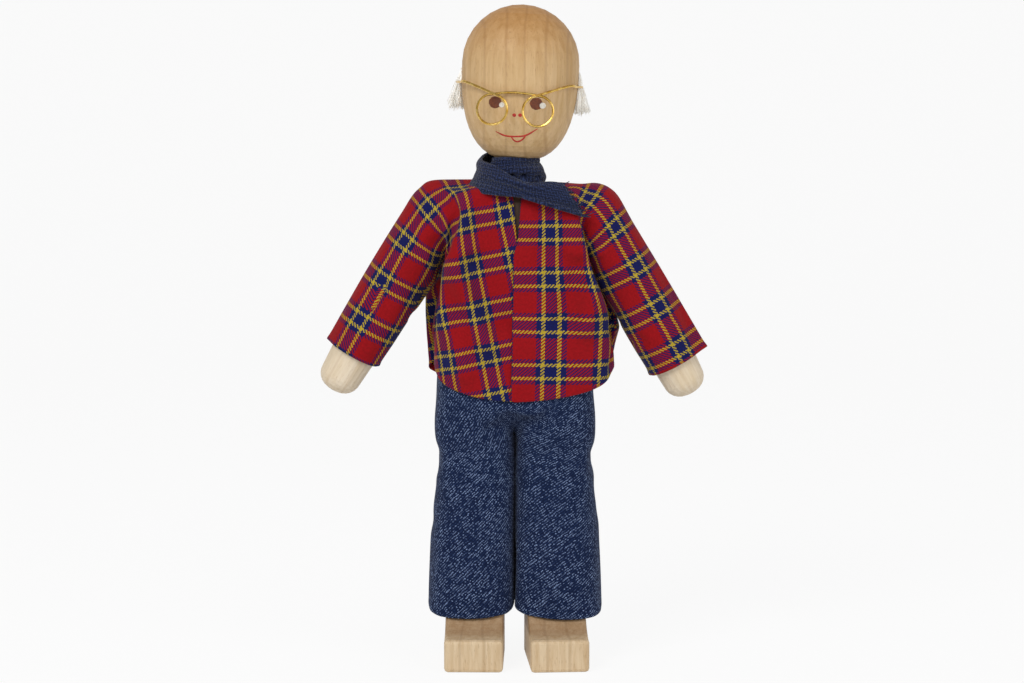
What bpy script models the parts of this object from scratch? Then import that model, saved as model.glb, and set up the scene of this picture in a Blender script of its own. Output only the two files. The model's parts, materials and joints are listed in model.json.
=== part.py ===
"""Wooden doll-house grandfather with pinned limbs, wire spectacles and sewn clothes.

Metres, +Z up, the face looks along -Y and the doll's left is +X. The soles stand on Z = 0.
"""
import math

import bmesh
import bpy
from mathutils import Matrix, Vector

# Air left between pieces that rest on each other, and round a peg or pin in its hole.
FIT = 0.0003
PIN_FIT = 0.0002

# Legs: the heights of the two leg hinges, the rods they are cut from, and the stance.
SHIN_LENGTH = 0.030
THIGH_LENGTH = 0.025
LEG_WIDTH = 0.0115
LEG_DEPTH = 0.010
LEG_SPACING = 0.0158
LEG_EDGE_ROUND = 0.0007
FOOT_LENGTH = 0.0185
TOE_HEIGHT = 0.0064
INSTEP_HEIGHT = 0.0135
TOE_OUT_LEFT = math.radians(4.0)
TOE_OUT_RIGHT = math.radians(1.0)

# Trunk.
TORSO_WIDTH = 0.024
TORSO_DEPTH = 0.013
TORSO_RISE = 0.038
TORSO_EDGE_ROUND = 0.0015
SHOULDER_DROP = 0.0037

# Arms: dowels cut on a slant at the top, so that they hang away from the trunk.
ARM_DIAMETER = 0.0098
HAND_DIAMETER = 0.0084
UPPER_ARM_LENGTH = 0.021
FOREARM_LENGTH = 0.0198
ARM_SPLAY_LEFT = math.radians(28.5)
ARM_SPLAY_RIGHT = math.radians(30.5)
ARM_INSET = 0.0032

# Neck and head.
NECK_DIAMETER = 0.008
NECK_LENGTH = 0.0064
NECK_DEPTH_IN_TORSO = 0.007
NECK_DEPTH_IN_HEAD = 0.010
HEAD_WIDTH = 0.023
CHIN_DROP = 0.019
CHIN_FULLNESS = 2.6
HEAD_TURN = math.radians(-3.5)
HEAD_TILT = math.radians(2.5)

# Hinges: a flat tongue on the lower piece turns in a slot of the upper one.
PIN_DIAMETER = 0.002
HIP_TONGUE = 0.0038
KNEE_TONGUE = 0.0038
ELBOW_TONGUE = 0.0030
PEG_DIAMETER = 0.004
PEG_DEPTH_IN_TORSO = 0.006
PEG_DEPTH_IN_ARM = 0.0048

# Spectacles.
WIRE_DIAMETER = 0.0005
RING_DIAMETER = 0.0058
RING_SPACING = 0.0088
RING_DROP = 0.0090
RING_STAND_OFF = 0.0010

# Hair.
HAIR_TOP_DROP = 0.0010
HAIR_LENGTH = 0.0078
HAIR_FLARE = 0.0030

# Clothes.
CLOTH = 0.0008
SHIRT_EASE = 0.0003
SHIRT_FLARE = 0.0056
SHIRT_BELLY = 0.0029
SHIRT_BACK_FALL = 0.0029
SHIRT_TAIL_RISE = 0.0070
SHIRT_TAIL_HEIGHT = 0.0140
SHIRT_BELOW_HIP = 0.0022
COLLAR_EASE = 0.0012
FRONT_SLIT_WIDTH = 0.0028
FRONT_SLIT_DEPTH = 0.010
ARMHOLE_HEIGHT = 0.0146
ARMHOLE_WIDTH = 0.0112
ARMHOLE_DROP = 0.0014
SLEEVE_EASE = 0.0012
CUFF_TO_HAND_END = 0.0088
TROUSER_EASE = 0.0009
TROUSER_RISE = 0.009
TROUSER_FORK_DROP = 0.0045
TROUSER_HIP_FLARE = 0.0024
TROUSER_HEM_Z = 0.0098
TROUSER_LEG_EASE = 0.0022
TROUSER_FRONT_EASE = 0.0029
ELASTIC_HEIGHT = 0.0020
ELASTIC_THICKNESS = 0.0006
NECKERCHIEF_THICKNESS = 0.0014
NECKERCHIEF_HEIGHT = 0.0048
NECKERCHIEF_SLACK = 0.0014
TAIL_LENGTH = 0.0120
TAIL_DROP = 0.0050
TAIL_END_HEIGHT = 0.0074
TAIL_STAND_OFF = 0.0028

# Places that follow from the sizes above.
KNEE_Z = SHIN_LENGTH
HIP_Z = KNEE_Z + THIGH_LENGTH
TORSO_TOP_Z = HIP_Z + TORSO_RISE
SHOULDER_Z = TORSO_TOP_Z - SHOULDER_DROP
ARM_FACE_X = TORSO_WIDTH / 2 + FIT
SHOULDER_X = ARM_FACE_X + ARM_INSET
LEG_X = LEG_SPACING / 2
CHIN_Z = TORSO_TOP_Z + NECK_LENGTH
BROW_Z = CHIN_Z + CHIN_DROP
HEAD_RADIUS = HEAD_WIDTH / 2
ARM_RADIUS = ARM_DIAMETER / 2
ELBOW_RADIUS = ARM_RADIUS + 0.0002
HIP_RADIUS = TORSO_DEPTH / 2
KNEE_RADIUS = LEG_DEPTH / 2
NECK_LEAN = (Matrix.Translation((0, 0, TORSO_TOP_Z)) @ Matrix.Rotation(HEAD_TILT, 4, "Y")
             @ Matrix.Translation((0, 0, -TORSO_TOP_Z)))
SIDES = (("left", 1), ("right", -1))


def start_empty():
    for thing in list(bpy.data.objects):
        bpy.data.objects.remove(thing, do_unlink=True)


def make_material(name, colour, roughness, metallic=0.0):
    material = bpy.data.materials.new(name)
    material.use_nodes = True
    shader = material.node_tree.nodes["Principled BSDF"]
    shader.inputs["Base Color"].default_value = (*colour, 1.0)
    shader.inputs["Roughness"].default_value = roughness
    shader.inputs["Metallic"].default_value = metallic
    return material


def add_frame(name, location, turn=0.0, parent=None):
    """An empty on a joint; turn is about Y."""
    frame = bpy.data.objects.new(name, None)
    frame.location = location
    frame.rotation_euler = (0.0, turn, 0.0)
    frame.parent = parent
    bpy.context.scene.collection.objects.link(frame)
    return frame


def add_object(name, shape, material=None, parent=None, smooth=True):
    """A mesh object from (vertices, faces)."""
    vertices, faces = shape
    mesh = bpy.data.meshes.new(name)
    mesh.from_pydata(vertices, [], faces)
    work = bmesh.new()
    work.from_mesh(mesh)
    bmesh.ops.recalc_face_normals(work, faces=work.faces)
    work.to_mesh(mesh)
    work.free()
    for face in mesh.polygons:
        face.use_smooth = smooth
    if material:
        mesh.materials.append(material)
    thing = bpy.data.objects.new(name, mesh)
    thing.parent = parent
    bpy.context.scene.collection.objects.link(thing)
    return thing


def settle(thing):
    """Keep the shape that the object's modifiers give it."""
    bpy.context.view_layer.update()
    graph = bpy.context.evaluated_depsgraph_get()
    mesh = bpy.data.meshes.new_from_object(thing.evaluated_get(graph))
    old = thing.data
    thing.modifiers.clear()
    thing.data = mesh
    name = old.name
    bpy.data.meshes.remove(old)
    mesh.name = name
    mesh.set_sharp_from_angle(angle=math.radians(35))


def carve(thing, shape, parent=None, operation="DIFFERENCE"):
    """Cut a shape away from an object, or join it on."""
    tool = add_object("tool", shape, parent=parent)
    modifier = thing.modifiers.new("carve", "BOOLEAN")
    modifier.operation = operation
    modifier.solver = "EXACT"
    modifier.object = tool
    settle(thing)
    bpy.data.objects.remove(tool, do_unlink=True)


def round_edges(thing, radius):
    modifier = thing.modifiers.new("edges", "BEVEL")
    modifier.width = radius
    modifier.segments = 2
    modifier.limit_method = "ANGLE"
    modifier.angle_limit = math.radians(50)
    settle(thing)


def moved(shape, matrix):
    vertices, faces = shape
    return [tuple(matrix @ Vector(v)) for v in vertices], faces


def box(low, high):
    vertices = [(x, y, z) for x in (low[0], high[0]) for y in (low[1], high[1]) for z in (low[2], high[2])]
    faces = [(0, 1, 3, 2), (4, 6, 7, 5), (0, 4, 5, 1), (2, 3, 7, 6), (0, 2, 6, 4), (1, 5, 7, 3)]
    return vertices, faces


def prism(outline, width):
    """A closed (y, z) outline drawn out along X, centred on X = 0."""
    count = len(outline)
    vertices = [(x, y, z) for x in (-width / 2, width / 2) for y, z in outline]
    faces = [tuple(range(count)), tuple(range(2 * count - 1, count - 1, -1))]
    for i in range(count):
        j = (i + 1) % count
        faces.append((i, j, j + count, i + count))
    return vertices, faces


def skin(rings):
    """Quads between rings of equal count, with the two end rings filled."""
    count = len(rings[0])
    vertices = [tuple(point) for ring in rings for point in ring]
    faces = [tuple(range(count)), tuple(range(len(vertices) - count, len(vertices)))]
    for k in range(len(rings) - 1):
        for i in range(count):
            j = (i + 1) % count
            faces.append((k * count + i, k * count + j, (k + 1) * count + j, (k + 1) * count + i))
    return vertices, faces


def lathe(profile, sides):
    """A profile of (radius, z) turned about Z; radius 0 at an end closes it in a point."""
    vertices = []
    faces = []
    rows = []
    for radius, z in profile:
        if radius == 0.0:
            rows.append([len(vertices)] * sides)
            vertices.append((0.0, 0.0, z))
            continue
        rows.append([len(vertices) + i for i in range(sides)])
        for i in range(sides):
            angle = 2 * math.pi * i / sides
            vertices.append((radius * math.cos(angle), radius * math.sin(angle), z))
    for low, high in zip(rows, rows[1:]):
        for i in range(sides):
            j = (i + 1) % sides
            corners = [low[i], low[j], high[j], high[i]]
            faces.append(tuple(dict.fromkeys(corners)))
    for row in (rows[0], rows[-1]):
        if row[0] != row[1]:
            faces.append(tuple(row))
    return vertices, faces


def rod(radius, start, end, sides=20):
    """A round rod between two points."""
    start = Vector(start)
    end = Vector(end)
    along = end - start
    shape = lathe([(radius, 0.0), (radius, along.length)], sides)
    turn = Vector((0, 0, 1)).rotation_difference(along).to_matrix().to_4x4()
    return moved(shape, Matrix.Translation(start) @ turn)


def arc(radius, start, end, steps, centre=(0.0, 0.0)):
    """(y, z) points on a circle, angles in degrees from +Y towards +Z."""
    points = []
    for i in range(steps + 1):
        angle = math.radians(start + (end - start) * i / steps)
        points.append((centre[0] + radius * math.cos(angle), centre[1] + radius * math.sin(angle)))
    return points


def tongue(radius, foot_z, width):
    """A flat tongue round the X axis that runs down to foot_z."""
    return prism(arc(radius, 0, 180, 10) + [(-radius, foot_z), (radius, foot_z)], width)


def slot(width, reach, floor_z, roof_z):
    return box((-width / 2, -reach, floor_z), (width / 2, reach, roof_z))


def smooth_path(points, steps):
    """A smooth curve through the points."""
    points = [Vector(p) for p in points]
    padded = [2 * points[0] - points[1]] + points + [2 * points[-1] - points[-2]]
    path = []
    for a, b, c, d in zip(padded, padded[1:], padded[2:], padded[3:]):
        for i in range(steps):
            t = i / steps
            path.append(0.5 * (2 * b + (c - a) * t + (2 * a - 5 * b + 4 * c - d) * t**2
                               + (3 * b - a - 3 * c + d) * t**3))
    return path + [points[-1]]


def wire(path, radius, sides=8):
    """A round wire along a path, its ends cut square."""
    rings = []
    across = None
    for i, point in enumerate(path):
        along = (path[min(i + 1, len(path) - 1)] - path[max(i - 1, 0)]).normalized()
        if across is None:
            across = along.orthogonal().normalized()
        across = (across - along * across.dot(along)).normalized()
        third = along.cross(across)
        rings.append([point + radius * (math.cos(2 * math.pi * k / sides) * across
                                        + math.sin(2 * math.pi * k / sides) * third) for k in range(sides)])
    return skin(rings)


def oval(half_width, half_depth, squareness, count, waves=0, wave_size=0.0, wave_turn=0.0):
    """A closed (x, y) ring between an ellipse (2) and a box (higher), with folds round it."""
    ring = []
    for i in range(count):
        angle = 2 * math.pi * i / count
        c = math.cos(angle)
        s = math.sin(angle)
        reach = 1.0 / (abs(c) ** squareness + abs(s) ** squareness) ** (1.0 / squareness)
        reach *= 1.0 + wave_size * math.cos(waves * angle + wave_turn)
        ring.append((half_width * reach * c, half_depth * reach * s))
    return ring


def cloth_tube(rows, count, wall, waves=0, wave_turn=0.0):
    """An open tube of cloth. A row is (centre x, z, half width, half depth, squareness, fold size, centre y)."""
    outer = []
    inner = []
    for i, (cx, z, wide, deep, square, fold, *back) in enumerate(rows):
        cy = back[0] if back else 0.0
        low = rows[max(i - 1, 0)]
        high = rows[min(i + 1, len(rows) - 1)]
        run = Vector((high[2] - low[2], high[1] - low[1])).normalized()
        inset = wall * run[1]
        drop = -wall * run[0]
        ring = oval(wide, deep, square, count, waves, fold, wave_turn)
        outer.append([(cx + x, cy + y, z) for x, y in ring])
        ring = oval(wide - inset, deep - inset, square, count, waves, fold, wave_turn)
        inner.append([(cx + x, cy + y, z - drop) for x, y in ring])
    return walled(outer, inner)


def walled(outer, inner):
    """Joins an outer and an inner set of rings into one closed wall."""
    vertices, faces = skin(outer + inner[::-1])
    faces = faces[2:]
    count = len(outer[0])
    last = len(vertices) - count
    for i in range(count):
        j = (i + 1) % count
        faces.append((i, j, last + j, last + i))
    return vertices, faces


def head_radius_at(z):
    """Radius of the head at a height."""
    rise = z - BROW_Z
    if rise > 0:
        return math.sqrt(max(HEAD_RADIUS**2 - rise**2, 0.0))
    return HEAD_RADIUS * (1 - (-rise / CHIN_DROP) ** CHIN_FULLNESS) ** (1 / CHIN_FULLNESS)


def build_torso(wood):
    outline = arc(HIP_RADIUS, 180, 360, 12, (0.0, HIP_Z))
    outline += [(HIP_RADIUS, TORSO_TOP_Z), (-HIP_RADIUS, TORSO_TOP_Z)]
    torso = add_object("torso", prism(outline, TORSO_WIDTH), wood)
    round_edges(torso, TORSO_EDGE_ROUND)
    reach = TORSO_DEPTH
    tongue_radius = HIP_RADIUS - 0.002
    for _, side in SIDES:
        cut = slot(HIP_TONGUE + 2 * FIT, reach, HIP_Z - 2 * HIP_RADIUS, HIP_Z + tongue_radius + 2 * FIT)
        carve(torso, moved(cut, Matrix.Translation((side * LEG_X, 0, 0))))
        carve(torso, rod(PEG_DIAMETER / 2 + PIN_FIT, (side * TORSO_WIDTH, 0, SHOULDER_Z),
                         (side * (TORSO_WIDTH / 2 - PEG_DEPTH_IN_TORSO), 0, SHOULDER_Z)))
    carve(torso, rod(PIN_DIAMETER / 2 + PIN_FIT, (-TORSO_WIDTH, 0, HIP_Z), (TORSO_WIDTH, 0, HIP_Z), 16))
    bore = rod(NECK_DIAMETER / 2 + PIN_FIT, (0, 0, TORSO_TOP_Z - NECK_DEPTH_IN_TORSO), (0, 0, CHIN_Z), 24)
    carve(torso, moved(bore, NECK_LEAN))
    return torso


def build_head(wood, brass, wool, pale_wood):
    peg = rod(NECK_DIAMETER / 2, (0, 0, TORSO_TOP_Z - NECK_DEPTH_IN_TORSO + FIT),
              (0, 0, CHIN_Z + NECK_DEPTH_IN_HEAD - FIT), 24)
    add_object("neck_peg", moved(peg, NECK_LEAN), pale_wood)
    turn = add_frame("neck_turn", (0, 0, 0))
    turn.matrix_basis = NECK_LEAN @ Matrix.Rotation(HEAD_TURN, 4, "Z")
    profile = [(0.0, CHIN_Z)]
    steps = 12
    for i in range(1, steps + 1):
        angle = math.pi / 2 * i / steps
        power = 2 / CHIN_FULLNESS
        profile.append((HEAD_RADIUS * math.sin(angle) ** power, BROW_Z - CHIN_DROP * math.cos(angle) ** power))
    steps = 8
    for i in range(1, steps):
        angle = math.pi / 2 * i / steps
        profile.append((HEAD_RADIUS * math.cos(angle), BROW_Z + HEAD_RADIUS * math.sin(angle)))
    profile.append((0.0, BROW_Z + HEAD_RADIUS))
    head = add_object("head", lathe(profile, 40), wood, turn)
    carve(head, rod(NECK_DIAMETER / 2 + PIN_FIT, (0, 0, CHIN_Z - NECK_LENGTH),
                    (0, 0, CHIN_Z + NECK_DEPTH_IN_HEAD), 24), turn)

    path = spectacle_path()
    hole = WIRE_DIAMETER / 2 + PIN_FIT
    for end, before in ((path[0], path[1]), (path[-1], path[-2])):
        inward = (end - before).normalized()
        carve(head, rod(hole, end - inward * 0.004, end + inward * FIT, 10), turn)
    add_object("glasses", wire(path, WIRE_DIAMETER / 2), brass, turn)
    add_object("hair_fringe", hair_shape(), wool, turn)


def spectacle_path():
    """One wire: temple, ring, bridge, ring, temple, with its ends let into the head."""
    ring_z = BROW_Z - RING_DROP
    radius = RING_DIAMETER / 2
    front = -(head_radius_at(ring_z) + RING_STAND_OFF)
    cross = 2 * WIRE_DIAMETER
    side_z = ring_z + 0.85 * RING_DIAMETER
    temple_radius = head_radius_at(side_z) + WIRE_DIAMETER / 2 + FIT

    half = [Vector((0, front, ring_z + 1.16 * radius))]
    half.append(Vector((RING_SPACING * 0.3, front, ring_z + 1.1 * radius)))
    for i in range(17):
        angle = math.radians(90 - 330 * i / 16)
        half.append(Vector((RING_SPACING / 2 + radius * math.cos(angle), front - cross * i / 16,
                            ring_z + radius * math.sin(angle))))
    half = smooth_path(half, 2)
    turns = [(50, 2.0), (64, 1.4), (78, 1.0), (84, 1.0)]
    temple = [half[-1]]
    for degrees, off in turns:
        angle = math.radians(degrees)
        reach = temple_radius * (1 + 0.03 * off)
        temple.append(Vector((reach * math.sin(angle), -reach * math.cos(angle), side_z)))
    last = temple[-1]
    half += smooth_path(temple, 4)[1:]
    inward = Vector((-last.x, -last.y, 0)).normalized()
    half.append(last + inward * 0.0006)
    half.append(last + inward * 0.0022)
    other = [Vector((-p.x, p.y, p.z)) for p in half[:0:-1]]
    return other + half


def hair_shape():
    """A flared fringe round the back of the head, from one temple to the other."""
    top_z = BROW_Z - HAIR_TOP_DROP
    low_z = top_z - HAIR_LENGTH
    steps = 24
    rings = []
    for i in range(steps + 1):
        angle = math.radians(2 + 176 * i / steps)
        flare = HAIR_FLARE * (1.0 - 0.3 * math.sin(angle) + 0.1 * math.sin(9.0 * angle))
        outline = []
        for share in (0.0, 0.35, 0.7, 1.0):
            z = top_z + (low_z - top_z) * share
            outline.append((head_radius_at(z) + FIT + 0.0004 + flare * share**1.3, z))
        for share in (1.0, 0.7, 0.35, 0.0):
            z = top_z + (low_z - top_z) * share
            outline.append((head_radius_at(z) + FIT, z))
        rings.append([(r * math.cos(angle), r * math.sin(angle), z) for r, z in outline])
    return skin(rings)


def build_arm(name, side, wood, pale_wood, steel):
    splay = ARM_SPLAY_LEFT if side > 0 else ARM_SPLAY_RIGHT
    shoulder = add_frame(f"{name}_shoulder", (side * SHOULDER_X, 0, SHOULDER_Z), -side * splay)
    elbow = add_frame(f"{name}_elbow", (0, 0, -UPPER_ARM_LENGTH), parent=shoulder)
    slot_width = ELBOW_TONGUE + 2 * FIT
    tongue_radius = ARM_RADIUS - 0.0010

    dome = [(ARM_RADIUS * math.sin(a), ARM_RADIUS * math.cos(a)) for a in
            [math.pi / 2 * i / 6 for i in range(6, 0, -1)]]
    profile = [(ARM_RADIUS, -UPPER_ARM_LENGTH - ARM_DIAMETER)] + dome + [(0.0, ARM_RADIUS)]
    arm = add_object(f"upper_arm_{name}", lathe(profile, 24), wood, shoulder)
    far = 2 * ARM_DIAMETER
    face = box((-side * far, -far, -far), (side * ARM_FACE_X, far, far))
    if side < 0:
        face = box((side * ARM_FACE_X, -far, -far), (far, far, far))
    face = moved(face, Matrix.Translation((0, 0, SHOULDER_Z)))
    carve(arm, face)
    knuckle = arc(ELBOW_RADIUS, 180, 360, 10) + [(far, 0.0), (far, -far), (-far, -far), (-far, 0.0)]
    carve(arm, prism(knuckle, far), elbow)
    carve(arm, slot(slot_width, far, -far, tongue_radius + 2 * FIT), elbow)
    carve(arm, rod(PIN_DIAMETER / 2 + PIN_FIT, (-far, 0, 0), (far, 0, 0), 16), elbow)
    carve(arm, rod(PEG_DIAMETER / 2 + PIN_FIT, (side * TORSO_WIDTH / 4, 0, SHOULDER_Z),
                   (side * (ARM_FACE_X + PEG_DEPTH_IN_ARM), 0, SHOULDER_Z)))

    peg_start = TORSO_WIDTH / 2 - PEG_DEPTH_IN_TORSO + FIT - SHOULDER_X
    peg_end = ARM_FACE_X + PEG_DEPTH_IN_ARM - FIT - SHOULDER_X
    peg = add_object(f"shoulder_peg_{name}", rod(PEG_DIAMETER / 2, (side * peg_start, 0, 0), (side * peg_end, 0, 0)),
                     pale_wood)
    peg.location = (side * SHOULDER_X, 0, SHOULDER_Z)
    half_pin = ARM_RADIUS - 0.0006
    add_object(f"elbow_pin_{name}", rod(PIN_DIAMETER / 2, (-half_pin, 0, 0), (half_pin, 0, 0), 16), steel, elbow)

    top = -(ELBOW_RADIUS + FIT)
    hand = HAND_DIAMETER / 2
    end_length = hand * 0.9
    profile = [(0.0, -FOREARM_LENGTH)]
    for i in range(1, 8):
        angle = math.pi / 2 * i / 7
        profile.append((hand * math.sin(angle) ** 0.85,
                        -FOREARM_LENGTH + end_length * (1 - math.cos(angle) ** 0.85)))
    profile.append((ARM_RADIUS, top))
    forearm = add_object(f"forearm_{name}", lathe(profile, 24), pale_wood, elbow)
    carve(forearm, tongue(tongue_radius, top - 0.002, ELBOW_TONGUE), elbow, "UNION")
    carve(forearm, rod(PIN_DIAMETER / 2 + PIN_FIT, (-far, 0, 0), (far, 0, 0), 16), elbow)


def build_leg(name, side, wood, pale_wood, steel):
    hip = add_frame(f"{name}_hip", (side * LEG_X, 0, HIP_Z))
    knee = add_frame(f"{name}_knee", (0, 0, -THIGH_LENGTH), parent=hip)
    far = 2 * LEG_WIDTH
    hip_tongue_radius = HIP_RADIUS - 0.002
    knee_tongue_radius = KNEE_RADIUS - 0.0008
    bore = PIN_DIAMETER / 2 + PIN_FIT

    top = -(HIP_RADIUS + 2 * FIT)
    outline = arc(KNEE_RADIUS, 180, 360, 10, (0.0, -THIGH_LENGTH))
    outline += [(KNEE_RADIUS, top), (-KNEE_RADIUS, top)]
    thigh = add_object(f"thigh_{name}", prism(outline, LEG_WIDTH), wood, hip)
    round_edges(thigh, LEG_EDGE_ROUND)
    carve(thigh, tongue(hip_tongue_radius, top - 0.002, HIP_TONGUE), hip, "UNION")
    carve(thigh, slot(KNEE_TONGUE + 2 * FIT, far, -far, knee_tongue_radius + 2 * FIT), knee)
    carve(thigh, rod(bore, (-far, 0, 0), (far, 0, 0), 16), knee)
    carve(thigh, rod(bore, (-far, 0, 0), (far, 0, 0), 16), hip)
    half_pin = LEG_WIDTH / 2 - 0.0008
    add_object(f"knee_pin_{name}", rod(PIN_DIAMETER / 2, (-half_pin, 0, 0), (half_pin, 0, 0), 16), steel, knee)

    top = -(KNEE_RADIUS + 2 * FIT)
    heel = KNEE_RADIUS
    toe = heel - FOOT_LENGTH
    instep_z = INSTEP_HEIGHT - SHIN_LENGTH
    toe_z = TOE_HEIGHT - SHIN_LENGTH
    outline = [(heel, top), (-KNEE_RADIUS, top)]
    for i in range(9):
        angle = math.pi / 2 * i / 8
        outline.append((toe + (-KNEE_RADIUS - toe) * math.cos(angle),
                        instep_z + (toe_z - instep_z) * math.sin(angle)))
    outline += [(toe, -SHIN_LENGTH), (heel, -SHIN_LENGTH)]
    toe_out = TOE_OUT_LEFT if side > 0 else -TOE_OUT_RIGHT
    shin = add_object(f"lower_leg_{name}", moved(prism(outline, LEG_WIDTH), Matrix.Rotation(toe_out, 4, "Z")),
                      pale_wood, knee)
    round_edges(shin, LEG_EDGE_ROUND)
    carve(shin, tongue(knee_tongue_radius, top - 0.002, KNEE_TONGUE), knee, "UNION")
    carve(shin, rod(bore, (-far, 0, 0), (far, 0, 0), 16), knee)


def build_shirt(plaid):
    """The trunk of the shirt hangs straight behind, swells over the waist and has a tail hem, high at the sides."""
    half = TORSO_WIDTH / 2 + FIT + CLOTH + SHIRT_EASE
    deep = TORSO_DEPTH / 2 + FIT + CLOTH + SHIRT_EASE
    roof = TORSO_TOP_Z + FIT + CLOTH + SHIRT_EASE
    neck = NECK_DIAMETER / 2 + COLLAR_EASE
    hem = HIP_Z - SHIRT_BELOW_HIP
    length = roof - hem
    edge = TORSO_EDGE_ROUND
    rows = []
    for share, flare, belly, fall, square, fold in (
            (0.0, 0.84, 0.88, 0.90, 3.0, 0.020), (0.15, 1.0, 1.0, 1.0, 3.0, 0.022), (0.31, 0.88, 0.84, 1.0, 3.4, 0.018),
            (0.47, 0.30, 0.42, 0.96, 4.0, 0.010), (0.59, 0.04, 0.30, 0.92, 4.6, 0.0), (0.76, 0.0, 0.28, 0.86, 5.4, 0.0)):
        front = deep + SHIRT_BELLY * belly
        back = deep + SHIRT_BACK_FALL * fall
        rows.append((0.0, hem + length * share, half + SHIRT_FLARE * flare, (front + back) / 2, square, fold,
                     (back - front) / 2))
    rows += [
        (0.0, roof - edge, half, deep + SHIRT_BELLY * 0.3, 5.4, 0.0, SHIRT_BACK_FALL * 0.05),
        (0.0, roof - edge * 0.15, half - edge * 0.75, deep - edge * 0.2, 4.6, 0.0),
        (0.0, roof, (half + neck) / 2, (deep + neck) / 2, 3.0, 0.0),
        (0.0, roof + SHIRT_EASE, neck, neck, 2.0, 0.0),
    ]
    vertices, faces = cloth_tube(rows, 40, CLOTH, 6, 0.6)
    shaped = []
    for x, y, z in vertices:
        low = min(max((hem + SHIRT_TAIL_HEIGHT - z) / SHIRT_TAIL_HEIGHT, 0.0), 1.0)
        side = min(abs(x) / (half + SHIRT_FLARE * 0.84), 1.0)
        shaped.append((x, y, z + SHIRT_TAIL_RISE * low * side**3))
    shirt = add_object("shirt_body", (shaped, faces), plaid)
    for _, side in SIDES:
        hole = rod(1.0, (side * (TORSO_WIDTH / 2 - CLOTH), 0, 0), (side * TORSO_WIDTH, 0, 0))
        place = Matrix.Translation((0, 0, SHOULDER_Z - ARMHOLE_DROP))
        carve(shirt, moved(hole, place @ Matrix.Diagonal((1.0, ARMHOLE_WIDTH / 2, ARMHOLE_HEIGHT / 2, 1.0))))
    opening = FRONT_SLIT_WIDTH / 2
    top = roof + 2 * CLOTH
    vertices = []
    for y in (-2 * deep, -neck / 2):
        vertices += [(0.0, y, roof - FRONT_SLIT_DEPTH), (opening, y, top), (-opening, y, top)]
    carve(shirt, (vertices, [(0, 1, 2), (3, 5, 4), (0, 3, 4, 1), (1, 4, 5, 2), (2, 5, 3, 0)]))

    for name, side in SIDES:
        add_object(f"shirt_sleeve_{name}", sleeve_shape(side, half + FIT + PIN_FIT), plaid)


def sleeve_shape(side, start_x):
    """A tube of cloth from the arm opening, bending over the shoulder and down along the arm."""
    splay = ARM_SPLAY_LEFT if side > 0 else ARM_SPLAY_RIGHT
    flat = ARM_RADIUS + SLEEVE_EASE
    wide = flat + CLOTH * 0.3
    mouth = ARMHOLE_HEIGHT / 2 + PIN_FIT
    stations = [
        (start_x - SHOULDER_X, -ARMHOLE_DROP, 0.0, mouth, flat),
        (ARM_INSET * 0.3, -ARMHOLE_DROP * 1.55, 15.0, mouth + CLOTH * 0.75, flat),
        (ARM_INSET * 1.04, -ARMHOLE_DROP * 4.85, 42.0, mouth - CLOTH * 0.8, flat),
    ]
    length = UPPER_ARM_LENGTH + FOREARM_LENGTH - CUFF_TO_HAND_END
    for share in (0.38, 0.53, 0.69, 0.85, 1.0):
        run = length * share
        stations.append((run * math.sin(splay), -run * math.cos(splay), 90.0 - math.degrees(splay),
                         wide + CLOTH * 0.3 * share, flat))
    outer = []
    inner = []
    for index, (x, z, lean, half_wide, half_flat) in enumerate(stations):
        lean = math.radians(lean)
        fold = 0.03 * min(index / 3.0, 1.0)
        for rings, cut in ((outer, 0.0), (inner, CLOTH)):
            ring = []
            for u, v in oval(half_wide - cut, half_flat - cut, 2.3, 28, 3, fold, 0.5):
                ring.append((side * (SHOULDER_X + x + u * math.sin(lean)), v,
                             SHOULDER_Z + z + u * math.cos(lean)))
            rings.append(ring)
    return walled(outer, inner)


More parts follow.
